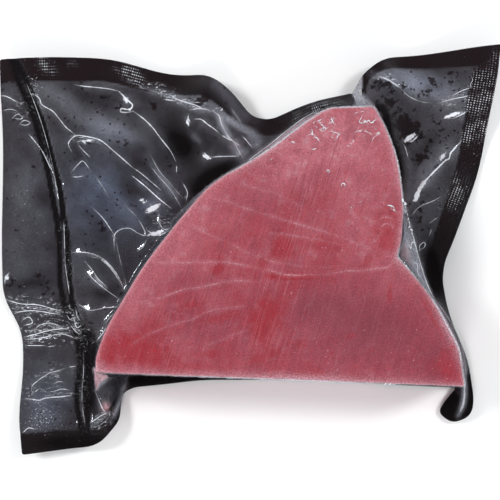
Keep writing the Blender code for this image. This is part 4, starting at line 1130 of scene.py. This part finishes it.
@dataclass(frozen=True)
class TunaFlesh:
    """Raw frozen tuna, band-sawn: muscle red, with pale septa, saw lines, and a pale frost over the thick
    end, partly a painted sheen.
    """

    # Muscle under frost, where it is pale, even and dusky, and where blood lies near the face
    pale: str = "#c8757f"
    flesh: str = "#a83b48"
    dusk: str = "#873443"
    deep: str = "#a41b29"
    # Muscle bruised by frost
    bruise: str = "#97505d"
    # Septa, the thin sheets between the muscle blocks, and frost on the cut
    septum: str = "#d0959f"
    frost: str = "#cf9ea7"
    roughness: float = 0.5
    # How big the frost's grain, the mottling, the specks, the streaks and the blotches are
    grain_mm: float = 0.6
    mottle_mm: float = 4.5
    speck_mm: float = 1.3
    streak_mm: float = 3.0
    blotch_mm: float = 11.0
    # How far apart the saw lines are, and how many degrees they lean
    saw_mm: float = 0.65
    saw_lean: float = 17.0

    def stretched(self, tree: bpy.types.NodeTree, place: bpy.types.NodeSocket,
                  long: float) -> bpy.types.NodeSocket:
        """Turn places along the saw's cut and stretch them."""
        return add_node(tree, "ShaderNodeMapping", {"vector_type": "TEXTURE"}, {
            "Vector": place, "Rotation": (0.0, 0.0, math.radians(-self.saw_lean)),
            "Scale": (1.0, long, 1.0)}).outputs[0]

    def colour(self, tree: bpy.types.NodeTree, place: bpy.types.NodeSocket, grain: bpy.types.NodeSocket,
               saw: bpy.types.NodeSocket) -> bpy.types.NodeSocket:
        """Lay the flesh's colours over each other, from the muscle up to the frost."""
        blotch = lumps(tree, place, self.blotch_mm, 5.0, FLESH_GRIT)
        streak = lumps(tree, self.stretched(tree, place, 3.0), self.streak_mm, 3.0, FLESH_GRIT)
        speck = lumps(tree, place, self.speck_mm, 1.0, FLESH_GRIT)
        scored = value_of(tree, "scored")
        blotched = ramp(tree, blotch, 0.4, 0.66, 0.0, 0.35)
        colour = blend_colour(tree, blotched, srgb(self.flesh), srgb(self.pale))
        colour = blend_colour(tree, ramp(tree, streak, 0.45, 0.7, 0.0, 0.4), colour, srgb(self.dusk))
        # Pale frost over the thick end, partly a painted sheen of the film over it
        bloom_and_sheen = value_of(tree, "bloom_and_sheen")
        mottle = lumps(tree, place, self.mottle_mm, 6.0, FLESH_GRIT)
        pallor = times(tree, bloom_and_sheen, ramp(tree, mottle, 0.36, 0.56, 0.75, 1.15))
        colour = blend_colour(tree, pallor, colour, srgb(self.pale))
        bruised = times(tree, bloom_and_sheen, ramp(tree, mottle, 0.5, 0.36, 0.0, 0.45))
        colour = blend_colour(tree, bruised, colour, srgb(self.bruise))
        rime = times(tree, ramp(tree, mottle, 0.56, 0.7, 0.0, 0.5), ramp(tree, bloom_and_sheen, 0.0, 0.8, 0.3, 1.0))
        colour = blend_colour(tree, rime, colour, srgb(self.frost))
        colour = blend_colour(tree, value_of(tree, "dusk"), colour, srgb(self.dusk))
        blood = times(tree, value_of(tree, "blood"), ramp(tree, streak, 0.36, 0.54, 0.75, 1.0))
        colour = blend_colour(tree, blood, colour, srgb(self.deep))
        lines = times(tree, ramp(tree, saw, 0.54, 0.68), ramp(tree, scored, 0.0, 1.0, 0.05, 0.28))
        colour = blend_colour(tree, lines, colour, srgb(self.septum))
        grooves = times(tree, ramp(tree, saw, 0.46, 0.34), ramp(tree, scored, 0.0, 1.0, 0.12, 0.5))
        colour = blend_colour(tree, grooves, colour, srgb(self.dusk))
        frosted = times(tree, value_of(tree, "frost"), ramp(tree, grain, 0.38, 0.62, 0.45, 1.0))
        colour = blend_colour(tree, frosted, colour, srgb(self.frost))
        gap = times(tree, value_of(tree, "septum_gap"), 0.0, "ABSOLUTE")
        beads = ramp(tree, grain, 0.38, 0.6, 0.2, 1.0)
        beaded = times(tree, ramp(tree, gap, 0.12, 0.42, 0.85, 0.0), beads)
        septa = times(tree, beaded, value_of(tree, "septa"))
        halo = times(tree, ramp(tree, gap, 0.0, 1.6, 0.3, 0.0), value_of(tree, "septa"))
        colour = blend_colour(tree, times(tree, septa, halo, "MAXIMUM"), colour, srgb(self.septum))
        colour = blend_colour(tree, ramp(tree, speck, 0.74, 0.80, 0.0, 0.5), colour, srgb(self.frost))
        return blend_colour(tree, ramp(tree, speck, 0.31, 0.25, 0.0, 0.55), colour, srgb(self.deep))

    def material(self) -> bpy.types.Material:
        """Make the flesh material."""
        material, tree, output = blank_material("raw_tuna_flesh")
        place = add_node(tree, "ShaderNodeTexCoord").outputs["Object"]
        grain = lumps(tree, place, self.grain_mm, 3.0, FLESH_GRIT)
        saw = lumps(tree, self.stretched(tree, place, 34.0), self.saw_mm, 3.0, FLESH_GRIT)
        shade = ramp(tree, grain, 0.36, 0.64, 0.8, 1.2)
        colour = add_node(tree, "ShaderNodeVectorMath", {"operation": "SCALE"}, {
            0: self.colour(tree, place, grain, saw), "Scale": shade}).outputs[0]
        height = times(tree, times(tree, grain, 0.4), times(tree, saw, 0.6), "ADD")
        bump = add_node(tree, "ShaderNodeBump", None, {"Strength": 0.3, "Distance": 0.0003, "Height": height})
        shader = add_node(tree, "ShaderNodeBsdfPrincipled", None, {
            "Base Color": colour, "Roughness": self.roughness, "Normal": bump.outputs[0],
            "Subsurface Weight": 0.06, "Subsurface Radius": (0.003, 0.001, 0.0008), "Subsurface Scale": 1.0,
            "Specular IOR Level": 0.3})
        tree.links.new(shader.outputs[0], output.inputs[0])
        return material


@dataclass(frozen=True)
class BlackLaminate:
    """Black polyamide and polyethylene laminate: a smooth gloss, knurled and duller where it is welded."""

    tint: str = "#1c1214"
    # Seen through meat juice, and painted shade beside the steak
    juice_and_shade_tint: str = "#080405"
    roughness: float = 0.16
    welded_roughness: float = 0.22
    # How much rougher it is under meat juice, which leaves it no clear mirroring
    juice_roughness: float = 0.6
    # The sealing bar's knurl, drawn coarser than the real 0.5 mm so that it shows
    knurl_mm: float = 0.95
    ripple_mm: float = 6.0

    def material(self) -> bpy.types.Material:
        """Make the black film material."""
        material, tree, output = blank_material("black_laminate_film")
        place = add_node(tree, "ShaderNodeTexCoord").outputs["Object"]
        welded = value_of(tree, "sealed")
        knurl = times(tree, knurl_height(tree, self.knurl_mm), value_of(tree, "knurl"))
        ripple = add_node(tree, "ShaderNodeTexNoise", None, {
            "Vector": place, "Scale": 1 / (self.ripple_mm * MM), "Detail": 3.0}).outputs["Fac"]
        height = times(tree, times(tree, knurl, 0.15), ripple, "ADD")
        bump = add_node(tree, "ShaderNodeBump", None, {"Strength": 0.5, "Distance": 0.0003, "Height": height})
        # Where meat juice lies, and as painted shade beside the steak, the black film is darker and rougher
        juice_and_shade = value_of(tree, "juice_and_shade")
        rough = times(tree, ramp(tree, welded, 0.0, 1.0, self.roughness, self.welded_roughness),
                      ramp(tree, juice_and_shade, 0.0, 1.0, 0.0, self.juice_roughness), "ADD")
        shader = add_node(tree, "ShaderNodeBsdfPrincipled", None, {
            "Base Color": blend_colour(tree, juice_and_shade, srgb(self.tint), srgb(self.juice_and_shade_tint)),
            "Normal": bump.outputs[0], "Roughness": rough, "Specular IOR Level": 0.08})
        tree.links.new(shader.outputs[0], output.inputs[0])
        return material


@dataclass(frozen=True)
class ClearFilm:
    """Clear polyamide and polyethylene film: bright gloss, a thin milky haze where it stands off that partly
    paints in its reflection, and painted highlights.
    """

    gloss: str = "#eef1fb"
    # The haze, partly a painted reflection, where it is thick, and bluer where it is thin over the black
    milk: str = "#8f909a"
    thin_milk: str = "#8490aa"
    ruddy_milk: str = "#cda0a8"
    # Colour of the painted highlights along the crests, the glare and the glints
    crest: str = "#e4e7ee"
    roughness: float = 0.07
    # What polyethylene mirrors of light that meets it head on; it rises to all of it at a grazing angle
    head_on: float = 0.04
    # The sealing bar's knurl, coarser than the real 0.5 mm so that it shows
    knurl_mm: float = 0.95
    ripple_mm: float = 3.5
    crumple_mm: float = 2.4
    fleck_mm: float = 1.1
    glint_mm: float = 0.5
    drop_mm: float = 2.4
    pool_mm: float = 2.4

    def material(self) -> bpy.types.Material:
        """Make the clear film material."""
        material, tree, output = blank_material("clear_vacuum_film")
        place = add_node(tree, "ShaderNodeTexCoord").outputs["Object"]
        ripple = lumps(tree, place, self.ripple_mm, 3.0, FILM_GRIT)
        rolled = times(tree, ripple, value_of(tree, "ripple"))
        knurl = times(tree, knurl_height(tree, self.knurl_mm), value_of(tree, "knurl"))
        crumple = lumps(tree, add_node(tree, "ShaderNodeMapping", {"vector_type": "TEXTURE"}, {
            "Vector": place, "Scale": (3.5, 1.0, 1.0)}).outputs[0], self.crumple_mm, 3.0, FILM_GRIT)
        height = times(tree, rolled, times(tree, knurl, 0.15), "ADD")
        bump = add_node(tree, "ShaderNodeBump", None, {"Strength": 0.6, "Distance": 0.0004, "Height": height})
        slant = add_node(tree, "ShaderNodeLayerWeight", None, {
            "Blend": 0.5, "Normal": bump.outputs[0]}).outputs["Facing"]
        grazing = times(tree, slant, 5.0, "POWER")
        mirrored = times(tree, times(tree, grazing, 1.0 - self.head_on), self.head_on, "ADD")
        spread = lumps(tree, place, self.pool_mm, 5.0, FILM_GRIT)
        pooling = times(tree, value_of(tree, "pool"), ramp(tree, spread, 0.32, 0.68, -0.6, 0.6), "ADD")
        pooled = ramp(tree, pooling, 0.5, 0.58)
        cells = add_node(tree, "ShaderNodeTexVoronoi", None, {
            "Vector": place, "Scale": 1 / (self.drop_mm * MM), "Randomness": 1.0})
        dryness = ramp(tree, value_of(tree, "drops"), 0.0, 1.0, 0.42, 0.0)
        chance = times(tree, cells.outputs["Color"], dryness, "SUBTRACT")
        drop = times(tree, ramp(tree, cells.outputs["Distance"], 0.28, 0.16), ramp(tree, chance, 0.4, 0.45))
        juice = times(tree, pooled, drop, "MAXIMUM")
        shine = times(tree, mirrored, value_of(tree, "shine"))
        shine = times(tree, shine, ramp(tree, juice, 0.0, 1.0, 1.0, 0.25))
        see_through = add_node(tree, "ShaderNodeBsdfTransparent", None, {"Color": (0.985, 0.985, 0.99, 1.0)})
        gloss = add_node(tree, "ShaderNodeBsdfGlossy", None, {
            "Color": srgb(self.gloss), "Roughness": self.roughness, "Normal": bump.outputs[0]})
        clear = add_node(tree, "ShaderNodeMixShader", None, {
            0: shine, 1: see_through.outputs[0], 2: gloss.outputs[0]})
        fleck = lumps(tree, place, self.fleck_mm, 4.0, FILM_GRIT)
        across = times(tree, value_of(tree, "across"), 0.0, "ABSOLUTE")
        ragged = times(tree, across, ramp(tree, fleck, 0.35, 0.65, -0.45, 0.45), "ADD")
        # The painted highlight along each crease's crest and along the steak's rim
        line = times(tree, ramp(tree, ragged, 0.6, 1.3, 1.0, 0.0), value_of(tree, "white"))
        glaring = times(tree, value_of(tree, "glare"), ramp(tree, fleck, 0.3, 0.7, -0.3, 0.3), "ADD")
        glare = ramp(tree, glaring, 0.5, 0.8)
        # Painted glints on fine crumples of the film
        fold = times(tree, times(tree, crumple, -0.5, "ADD"), 0.0, "ABSOLUTE")
        crumple_glints = times(tree, ramp(tree, fold, 0.022, 0.006, 0.0, 0.75), value_of(tree, "crumple"))
        crumple_glints = times(tree, crumple_glints, ramp(tree, fleck, 0.44, 0.58))
        speck = lumps(tree, place, self.glint_mm, 2.0, FILM_GRIT)
        glinting = times(tree, speck, times(tree, value_of(tree, "glint"), 0.16), "ADD")
        glint = ramp(tree, glinting, 0.77, 0.82, 0.0, 0.7)
        # Painted glints on the knurl's teeth, where the weld catches the light
        knurl_glints = times(tree, ramp(tree, knurl_height(tree, self.knurl_mm), 0.2, 0.7), value_of(tree, "knurl"))
        # All the painted highlights, mixed in as a pale diffuse: crest and rim lines, lamp glare, crumple
        # glints, specks and knurl glints
        white = line
        for more in (glare, crumple_glints, glint, times(tree, knurl_glints, ramp(tree, fleck, 0.36, 0.56, 0.0, 1.0))):
            white = times(tree, white, more, "MAXIMUM")
        white = times(tree, white, 0.93, "MINIMUM")
        # The haze: the film's milkiness, and a painted reflection of the room where the film stands off the
        # black
        hazed = times(tree, value_of(tree, "haze"), ramp(tree, fleck, 0.35, 0.65, 0.82, 1.22))
        hazed = times(tree, hazed, ramp(tree, juice, 0.0, 1.0, 1.0, 0.1))
        tint = blend_colour(tree, value_of(tree, "cool"), srgb(self.milk), srgb(self.thin_milk))
        tint = blend_colour(tree, value_of(tree, "ruddy"), tint, srgb(self.ruddy_milk))
        tint = blend_colour(tree, ramp(tree, white, 0.0, 0.15), tint, srgb(self.crest))
        milk = add_node(tree, "ShaderNodeBsdfDiffuse", None, {"Color": tint})
        whole = add_node(tree, "ShaderNodeMixShader", None, {
            0: times(tree, hazed, white, "MAXIMUM"), 1: clear.outputs[0], 2: milk.outputs[0]})
        tree.links.new(whole.outputs[0], output.inputs[0])
        return material


@dataclass(frozen=True)
class PalePaper:
    """Matt white paper under the pack."""

    tint: str = "#fafafa"

    def material(self) -> bpy.types.Material:
        """Make the floor's material."""
        material, tree, output = blank_material("pale_paper")
        shader = add_node(tree, "ShaderNodeBsdfPrincipled", None, {
            "Base Color": srgb(self.tint), "Roughness": 0.95, "Specular IOR Level": 0.1})
        tree.links.new(shader.outputs[0], output.inputs[0])
        return material


# ---------------------------------------------------------------- the pieces

@dataclass
class TunaSteak:
    """The sawn slab of tuna.

    Attributes:
        form: the pack's form.
        base: level of the slab's underside.
        cell: spacing of the sawn face's mesh.
        edge_round: how far the saw edge is rounded.
    """

    form: PackForm
    base: float
    cell: float = 0.55
    edge_round: float = 0.9

    def septa(self, points: np.ndarray) -> tuple[np.ndarray, np.ndarray]:
        """How strong the nearest septum is, and the distance to it in millimetres, negative on its right."""
        wander = rough_field(points, 7.0, 1.3, 2) * 0.5
        shifted = points[:, :2] + np.column_stack([np.zeros(len(points)), wander])
        strength = np.zeros(len(points))
        across = np.full(len(points), FAR)
        fade = np.clip(0.75 + 0.9 * rough_field(points, 8.0, 7.7, 2), 0.25, 1.2)
        for whole, crest in SEPTA:
            side, from_end = beside_line(flowing_line(crest), shifted)
            closer = np.abs(side) < np.abs(across)
            across[closer] = side[closer]
            taper = np.clip(from_end[closer] / 4.0, 0.0, 1.0)
            strength[closer] = whole * taper * fade[closer] * np.exp(-(side[closer] / 1.8) ** 2)
        return strength, across

    def build(self) -> bpy.types.Object:
        """Make the slab from a flat grid: cut to the outline, drawn down the sides and closed below."""
        outline = self.form.steak
        piece = flat_sheet("steak_flesh", outline, self.cell)
        trim(piece, lambda middles: inside(outline, middles))
        snap_rim(piece, outline)
        points = plan_points(piece)
        depth = -outside_distance(outline, points)
        short_of_flat = 1.0 - np.clip(depth / self.edge_round, 0, 1)
        drop = self.edge_round * (1.0 - np.sqrt(np.clip(1.0 - short_of_flat ** 2, 0, 1)))
        waver = rough_field(points, 14.0, 4.4, 2) * 0.08 * np.clip(depth, 0.0, 1.0)
        points[:, 2] = self.form.top - FILM_CLEAR - drop + waver
        place_points(piece, points)
        self.draw_sides(piece)
        self.paint(piece)
        smooth(piece, 50.0)
        return piece

    def draw_sides(self, piece: bpy.types.Object) -> None:
        """Extrude the cut edge down to the base in short steps and close the underside."""
        select_only(piece)
        levels = 9
        top = self.form.top - FILM_CLEAR - self.edge_round
        bpy.ops.object.mode_set(mode="EDIT")
        bpy.ops.mesh.select_mode(type="EDGE")
        bpy.ops.mesh.select_all(action="DESELECT")
        bpy.ops.mesh.select_non_manifold()
        for _ in range(levels):
            bpy.ops.mesh.extrude_region_move(
                TRANSFORM_OT_translate={"value": (0.0, 0.0, -(top - self.base) / levels * MM)})
        bpy.ops.mesh.edge_face_add()
        bpy.ops.mesh.select_all(action="SELECT")
        bpy.ops.mesh.normals_make_consistent(inside=False)
        bpy.ops.object.mode_set(mode="OBJECT")
        points = plan_points(piece)
        below = smooth_step(self.form.top - 2.0, self.form.top - 12.0, points[:, 2])
        for x, y, radius, step_x, step_y in FLARES:
            near = np.exp(-np.sum((points[:, :2] - (x, y)) ** 2, axis=1) / radius ** 2)
            points[:, :2] += (near * below)[:, None] * (step_x, step_y)
        place_points(piece, points)

    def paint(self, piece: bpy.types.Object) -> None:
        """Keep the masks for septa, blood, the pale frost over the thick end with its painted sheen, dusky
        muscle, saw lines and frost.
        """
        points = plan_points(piece)
        depth = -outside_distance(self.form.steak, points)
        on_top = smooth_step(self.form.top - 3.0, self.form.top - 1.0, points[:, 2])
        frost = 0.55 * np.exp(-np.maximum(depth, 0.0) / 0.8)
        frost += blobs(EDGE_FROST, points) * np.exp(-np.maximum(depth, 0.0) / 2.6)
        septa, across = self.septa(points)
        store(piece, "septa", septa * on_top)
        store(piece, "septum_gap", across)
        store(piece, "blood", patches(BLOOD, points, 0.45) * on_top)
        # Pale frost over the thick end, partly a painted sheen of the film over it
        store(piece, "bloom_and_sheen", np.clip(blobs(BLOOM_AND_SHEEN, points), 0.0, 1.0) * on_top)
        store(piece, "dusk", np.clip(blobs(DUSK, points), 0.0, 0.8) * on_top)
        store(piece, "scored", np.clip(blobs(SCORED, points) + 0.15, 0.0, 1.0) * on_top)
        store(piece, "frost", np.clip(frost + 0.15 * (1.0 - on_top), 0.0, 1.0))


class Side(Enum):
    """Which of the pouch's two films a sheet is."""

    FRONT = "front"
    BACK = "back"


@dataclass
class PouchFilm:
    """One of the pouch's films, drawn round the steak and out to the cut edge.

    Attributes:
        form: the pack's form.
        side: front or back.
        thickness: the film, in millimetres, drawn thicker than the real 0.09 so that it stays solid.
        cell: spacing of the mesh over the steak; the margins have half and the walls and creases a quarter.
        crease_band: how far from a crease the mesh is finest.
        rim_light_at: how far out from the steak's outline the fold over its rim catches the light.
        rim_light_reach: how far the rim light is drawn to each side, in its half widths.
        rim_light_half_width: half that line's width.
    """

    form: PackForm
    side: Side
    thickness: float = 0.12
    cell: float = 1.6
    crease_band: float = 0.65
    rim_light_at: float = 0.0
    rim_light_reach: float = 3.0
    rim_light_half_width: float = 0.32

    def keep(self, middles: np.ndarray) -> np.ndarray:
        """True for faces that belong to this film."""
        kept = inside(self.form.pouch, middles)
        if self.side is Side.BACK:
            kept &= ~inside(self.form.notch, middles)
        return kept

    def build(self) -> bpy.types.Object:
        """Make the film from a flat grid: refined at the walls, cut out, raised and given its thickness."""
        piece = flat_sheet(f"{self.side.value}_film_sheet", self.form.pouch, self.cell)
        refine(piece, lambda middles: (outside_distance(self.form.steak, middles) > -2.4)
               & (outside_distance(self.form.pouch, middles) < 2.0))
        refine(piece, lambda middles: (outside_distance(self.form.steak, middles) > -0.6)
               & (outside_distance(self.form.steak, middles) < 2.6)
               & (outside_distance(self.form.foot, middles) < 0.2)
               | (self.form.crease_gap(middles) < self.crease_band))
        trim(piece, self.keep)
        snap_rim(piece, self.form.pouch, self.form.notch if self.side is Side.BACK else None)
        points = plan_points(piece)
        levels = self.form.levels(points)
        points[:, 2] = levels[self.side.value]
        place_points(piece, points)
        self.paint(piece, points, levels)
        thicken(piece, self.thickness, 1.0 if self.side is Side.FRONT else -1.0)
        smooth(piece, 60.0)
        return piece

    def paint(self, piece: bpy.types.Object, points: np.ndarray, levels: dict[str, np.ndarray]) -> None:
        """Keep the masks for welds, knurl, juice and painted shade, milkiness and painted sheen, crease
        whitening and painted highlights, glare and shine.
        """
        sealed = levels["sealed"]
        run, inward, _ = self.form.edge_places(points)
        patchy = rough_field(points, 4.0, 9.0, 2) * 1.2 + 0.75
        shows = np.clip(blobs(KNURL_SHOWS, points), 0.0, 1.0) * patchy
        store(piece, "sealed", sealed)
        store(piece, "run", run)
        store(piece, "inward", inward)
        store(piece, "knurl", np.clip(shows, 0.0, 1.0) * sealed)
        # Meat juice under the clear film, and painted shade beside the steak's edges; the mouth's pressed
        # lines share this dark mask
        juice_and_shade = np.clip(blobs(WET_AND_SHADE, points) * 1.4, 0.0, 1.0)
        lines = levels["lines"]
        store(piece, "juice_and_shade", np.maximum(juice_and_shade, lines))
        if self.side is Side.BACK:
            return
        clouds = rough_field(points, 14.0, 5.5, 4)
        # The haze: the film's milkiness, partly a painted reflection of the room in the stand-off film's
        # inner faces
        haze = 0.05 * (1.0 + 0.8 * clouds) + blobs(MILK_AND_SHEEN, points) * (1.0 + 1.0 * clouds)
        over_steak = levels["from_steak"] < self.form.lip
        web = np.clip(blobs(WEBS, points), 0.0, 1.0)
        haze = np.where(over_steak, 0.015, haze * (1.0 - juice_and_shade))
        haze = np.where((levels["from_foot"] < 0.0) & ~over_steak, 0.02 + web, haze)
        bridging = inside(self.form.notch, points)
        corner = smooth_step(0.5, -0.3, outside_distance(rounded_path(FROSTED_CORNER), points))
        haze += corner * (0.5 * (1.0 + rough_field(points, 2.0, 3.3)) - haze)
        haze = np.where(bridging, 0.42 * (1.0 + 0.25 * clouds), haze)
        haze *= 1.0 - sealed * ~bridging
        haze += (0.08 * levels["glow"] * ~over_steak * (1.0 - sealed)
                 + self.form.streaks(points) * (0.8 + 0.5 * clouds) * ~over_steak)
        haze += 0.12 * np.clip(blobs(GLARES, points), 0.0, 1.0)
        store(piece, "haze", np.clip(haze, 0.0, 1.0))
        from_rim = np.abs(levels["from_steak"] - self.rim_light_at) / self.rim_light_half_width
        on_rim = (from_rim < self.rim_light_reach) & (from_rim < np.abs(levels["across"]))
        # Painted highlights along the crease crests, partly their whitening, and along the steak's rim where
        # the film's fold catches the light
        white = levels["white"] * (1.0 - 0.6 * (sealed - lines))
        store(piece, "white", np.where(on_rim, np.clip(blobs(RIM_LIGHT, points), 0.0, 0.7), white))
        store(piece, "across", np.where(on_rim, from_rim, levels["across"]))
        store(piece, "glare", np.clip(blobs(GLARES, points), 0.0, 1.3))
        # Where the painted crumple glints show
        store(piece, "crumple", np.clip(blobs(CRUMPLE_GLINTS, points), 0.0, 1.0) * (1.0 - 0.6 * lines))
        store(piece, "glint", np.clip(blobs(GLINTS, points) * (0.9 + 0.5 * clouds), 0.0, 1.0))
        store(piece, "cool", np.clip(blobs(COOL, points), 0.0, 1.0))
        store(piece, "ruddy", np.clip(blobs(RUDDY, points) + 0.75 * corner, 0.0, 1.0))
        store(piece, "pool", np.clip(blobs(POOLS, points), 0.0, 1.2))
        store(piece, "drops", np.clip(blobs(DROPS, points), 0.0, 1.0))
        wall = (levels["from_foot"] < 0.0) & ~over_steak
        rim = np.exp(-((levels["from_steak"] - 0.3) / 1.1) ** 2)
        dulled = np.maximum.reduce([0.6 * sealed, 0.99 * juice_and_shade, 0.75 * lines, 0.85 * wall, 0.9 * rim])
        store(piece, "shine", 1.0 - dulled)
        store(piece, "ripple", np.where(over_steak | wall, 0.2, 0.5 * (1.0 - sealed)))


# ---------------------------------------------------------------- the studio

@dataclass(frozen=True)
class Studio:
    """A pale floor, soft lights and the camera straight above."""

    # Straight above, about where a hand holds a phone over a table
    camera_height: float = 0.45
    # The table plane's width that fills the picture
    view_width: float = 0.210

    def floor(self) -> bpy.types.Object:
        """Lay the floor just under the pack."""
        bpy.ops.object.select_all(action="DESELECT")
        bpy.ops.mesh.primitive_plane_add(size=6.0, location=(0.0, 0.0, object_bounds()[0][2] - 0.0002))
        floor = bpy.context.active_object
        floor.name = "studio_floor"
        bpy.ops.object.transform_apply(location=True)
        floor.data.materials.append(PalePaper().material())
        return floor

    def lamp(self, name: str, place: tuple[float, float, float], size: tuple[float, float],
             power: float) -> None:
        """Hang one soft rectangular lamp that faces the pack.

        Args:
            name: the lamp's name.
            place: where it hangs.
            size: its width and depth.
            power: its power in watts.
        """
        light = bpy.data.lights.new(name, "AREA")
        light.shape = "RECTANGLE"
        light.size, light.size_y = size
        light.energy = power
        holder = bpy.data.objects.new(name, light)
        bpy.context.scene.collection.objects.link(holder)
        holder.location = place
        holder.rotation_euler = (-Vector(place)).to_track_quat("-Z", "Y").to_euler()

    def world(self) -> None:
        """Fill the room with pale light that fades towards the dark ceiling straight above."""
        world = bpy.data.worlds.new("studio_world")
        world.use_nodes = True
        tree = world.node_tree
        tree.nodes.clear()
        sky = add_node(tree, "ShaderNodeTexCoord").outputs["Generated"]
        height = add_node(tree, "ShaderNodeSeparateXYZ", None, {0: sky}).outputs["Z"]
        bands = tree.nodes.new("ShaderNodeValToRGB")
        tree.links.new(height, bands.inputs[0])
        stops = [(0.0, 1.0), (0.3, 0.95), (0.5, 0.65), (0.66, 0.4), (0.8, 0.24), (1.0, 0.15)]
        ramp_stops = bands.color_ramp.elements
        for index, (place, light) in enumerate(stops):
            stop = ramp_stops[index] if index < 2 else ramp_stops.new(place)
            stop.position = place
            stop.color = (light * 0.95, light * 0.98, light, 1.0)
        shader = add_node(tree, "ShaderNodeBackground", None, {"Color": bands.outputs[0], "Strength": 1.0})
        output = tree.nodes.new("ShaderNodeOutputWorld")
        tree.links.new(shader.outputs[0], output.inputs[0])
        bpy.context.scene.world = world

    def camera(self) -> None:
        """Set the camera straight above the pack."""
        lens = bpy.data.cameras.new("camera")
        lens.type = "PERSP"
        lens.sensor_width = 36.0
        lens.lens = 36.0 * self.camera_height / self.view_width
        holder = bpy.data.objects.new("camera", lens)
        bpy.context.scene.collection.objects.link(holder)
        holder.location = (0.0, 0.0, self.camera_height)
        bpy.context.scene.camera = holder

    def build(self) -> None:
        """Set up the camera, the lamps and the world."""
        self.camera()
        self.world()
        self.lamp("lamp_left", (-1.25, 0.5, 0.85), (0.4, 0.4), 17.0)
        self.lamp("lamp_right", (1.2, 0.6, 0.85), (0.4, 0.4), 13.0)
        self.lamp("lamp_front", (-0.2, -1.3, 0.8), (0.5, 0.3), 10.0)


def main() -> None:
    """Build the pack's pieces round the frame, then the studio."""
    logging.basicConfig(level=logging.INFO, format="%(message)s")
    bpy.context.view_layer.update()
    bpy.context.scene.view_settings.view_transform = "Standard"
    _, steak_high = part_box("tuna_steak")
    form = PackForm(floor=0.2, top=steak_high.z / MM + FILM_CLEAR)

    steak = TunaSteak(form, base=0.3).build()
    steak.data.materials.append(TunaFlesh().material())
    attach(steak, "root")
    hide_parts("tuna_steak")
    log.info("steak: %d faces", len(steak.data.polygons))

    back = PouchFilm(form, Side.BACK, thickness=0.18).build()
    back.data.materials.append(BlackLaminate().material())
    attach(back, "root")
    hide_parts("back_film")
    log.info("back film: %d faces", len(back.data.polygons))

    front = PouchFilm(form, Side.FRONT).build()
    front.data.materials.append(ClearFilm().material())
    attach(front, "root")
    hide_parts("front_film")
    log.info("front film: %d faces", len(front.data.polygons))

    studio = Studio()
    studio.floor()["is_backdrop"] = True
    studio.build()


if __name__ == "__main__":
    main()
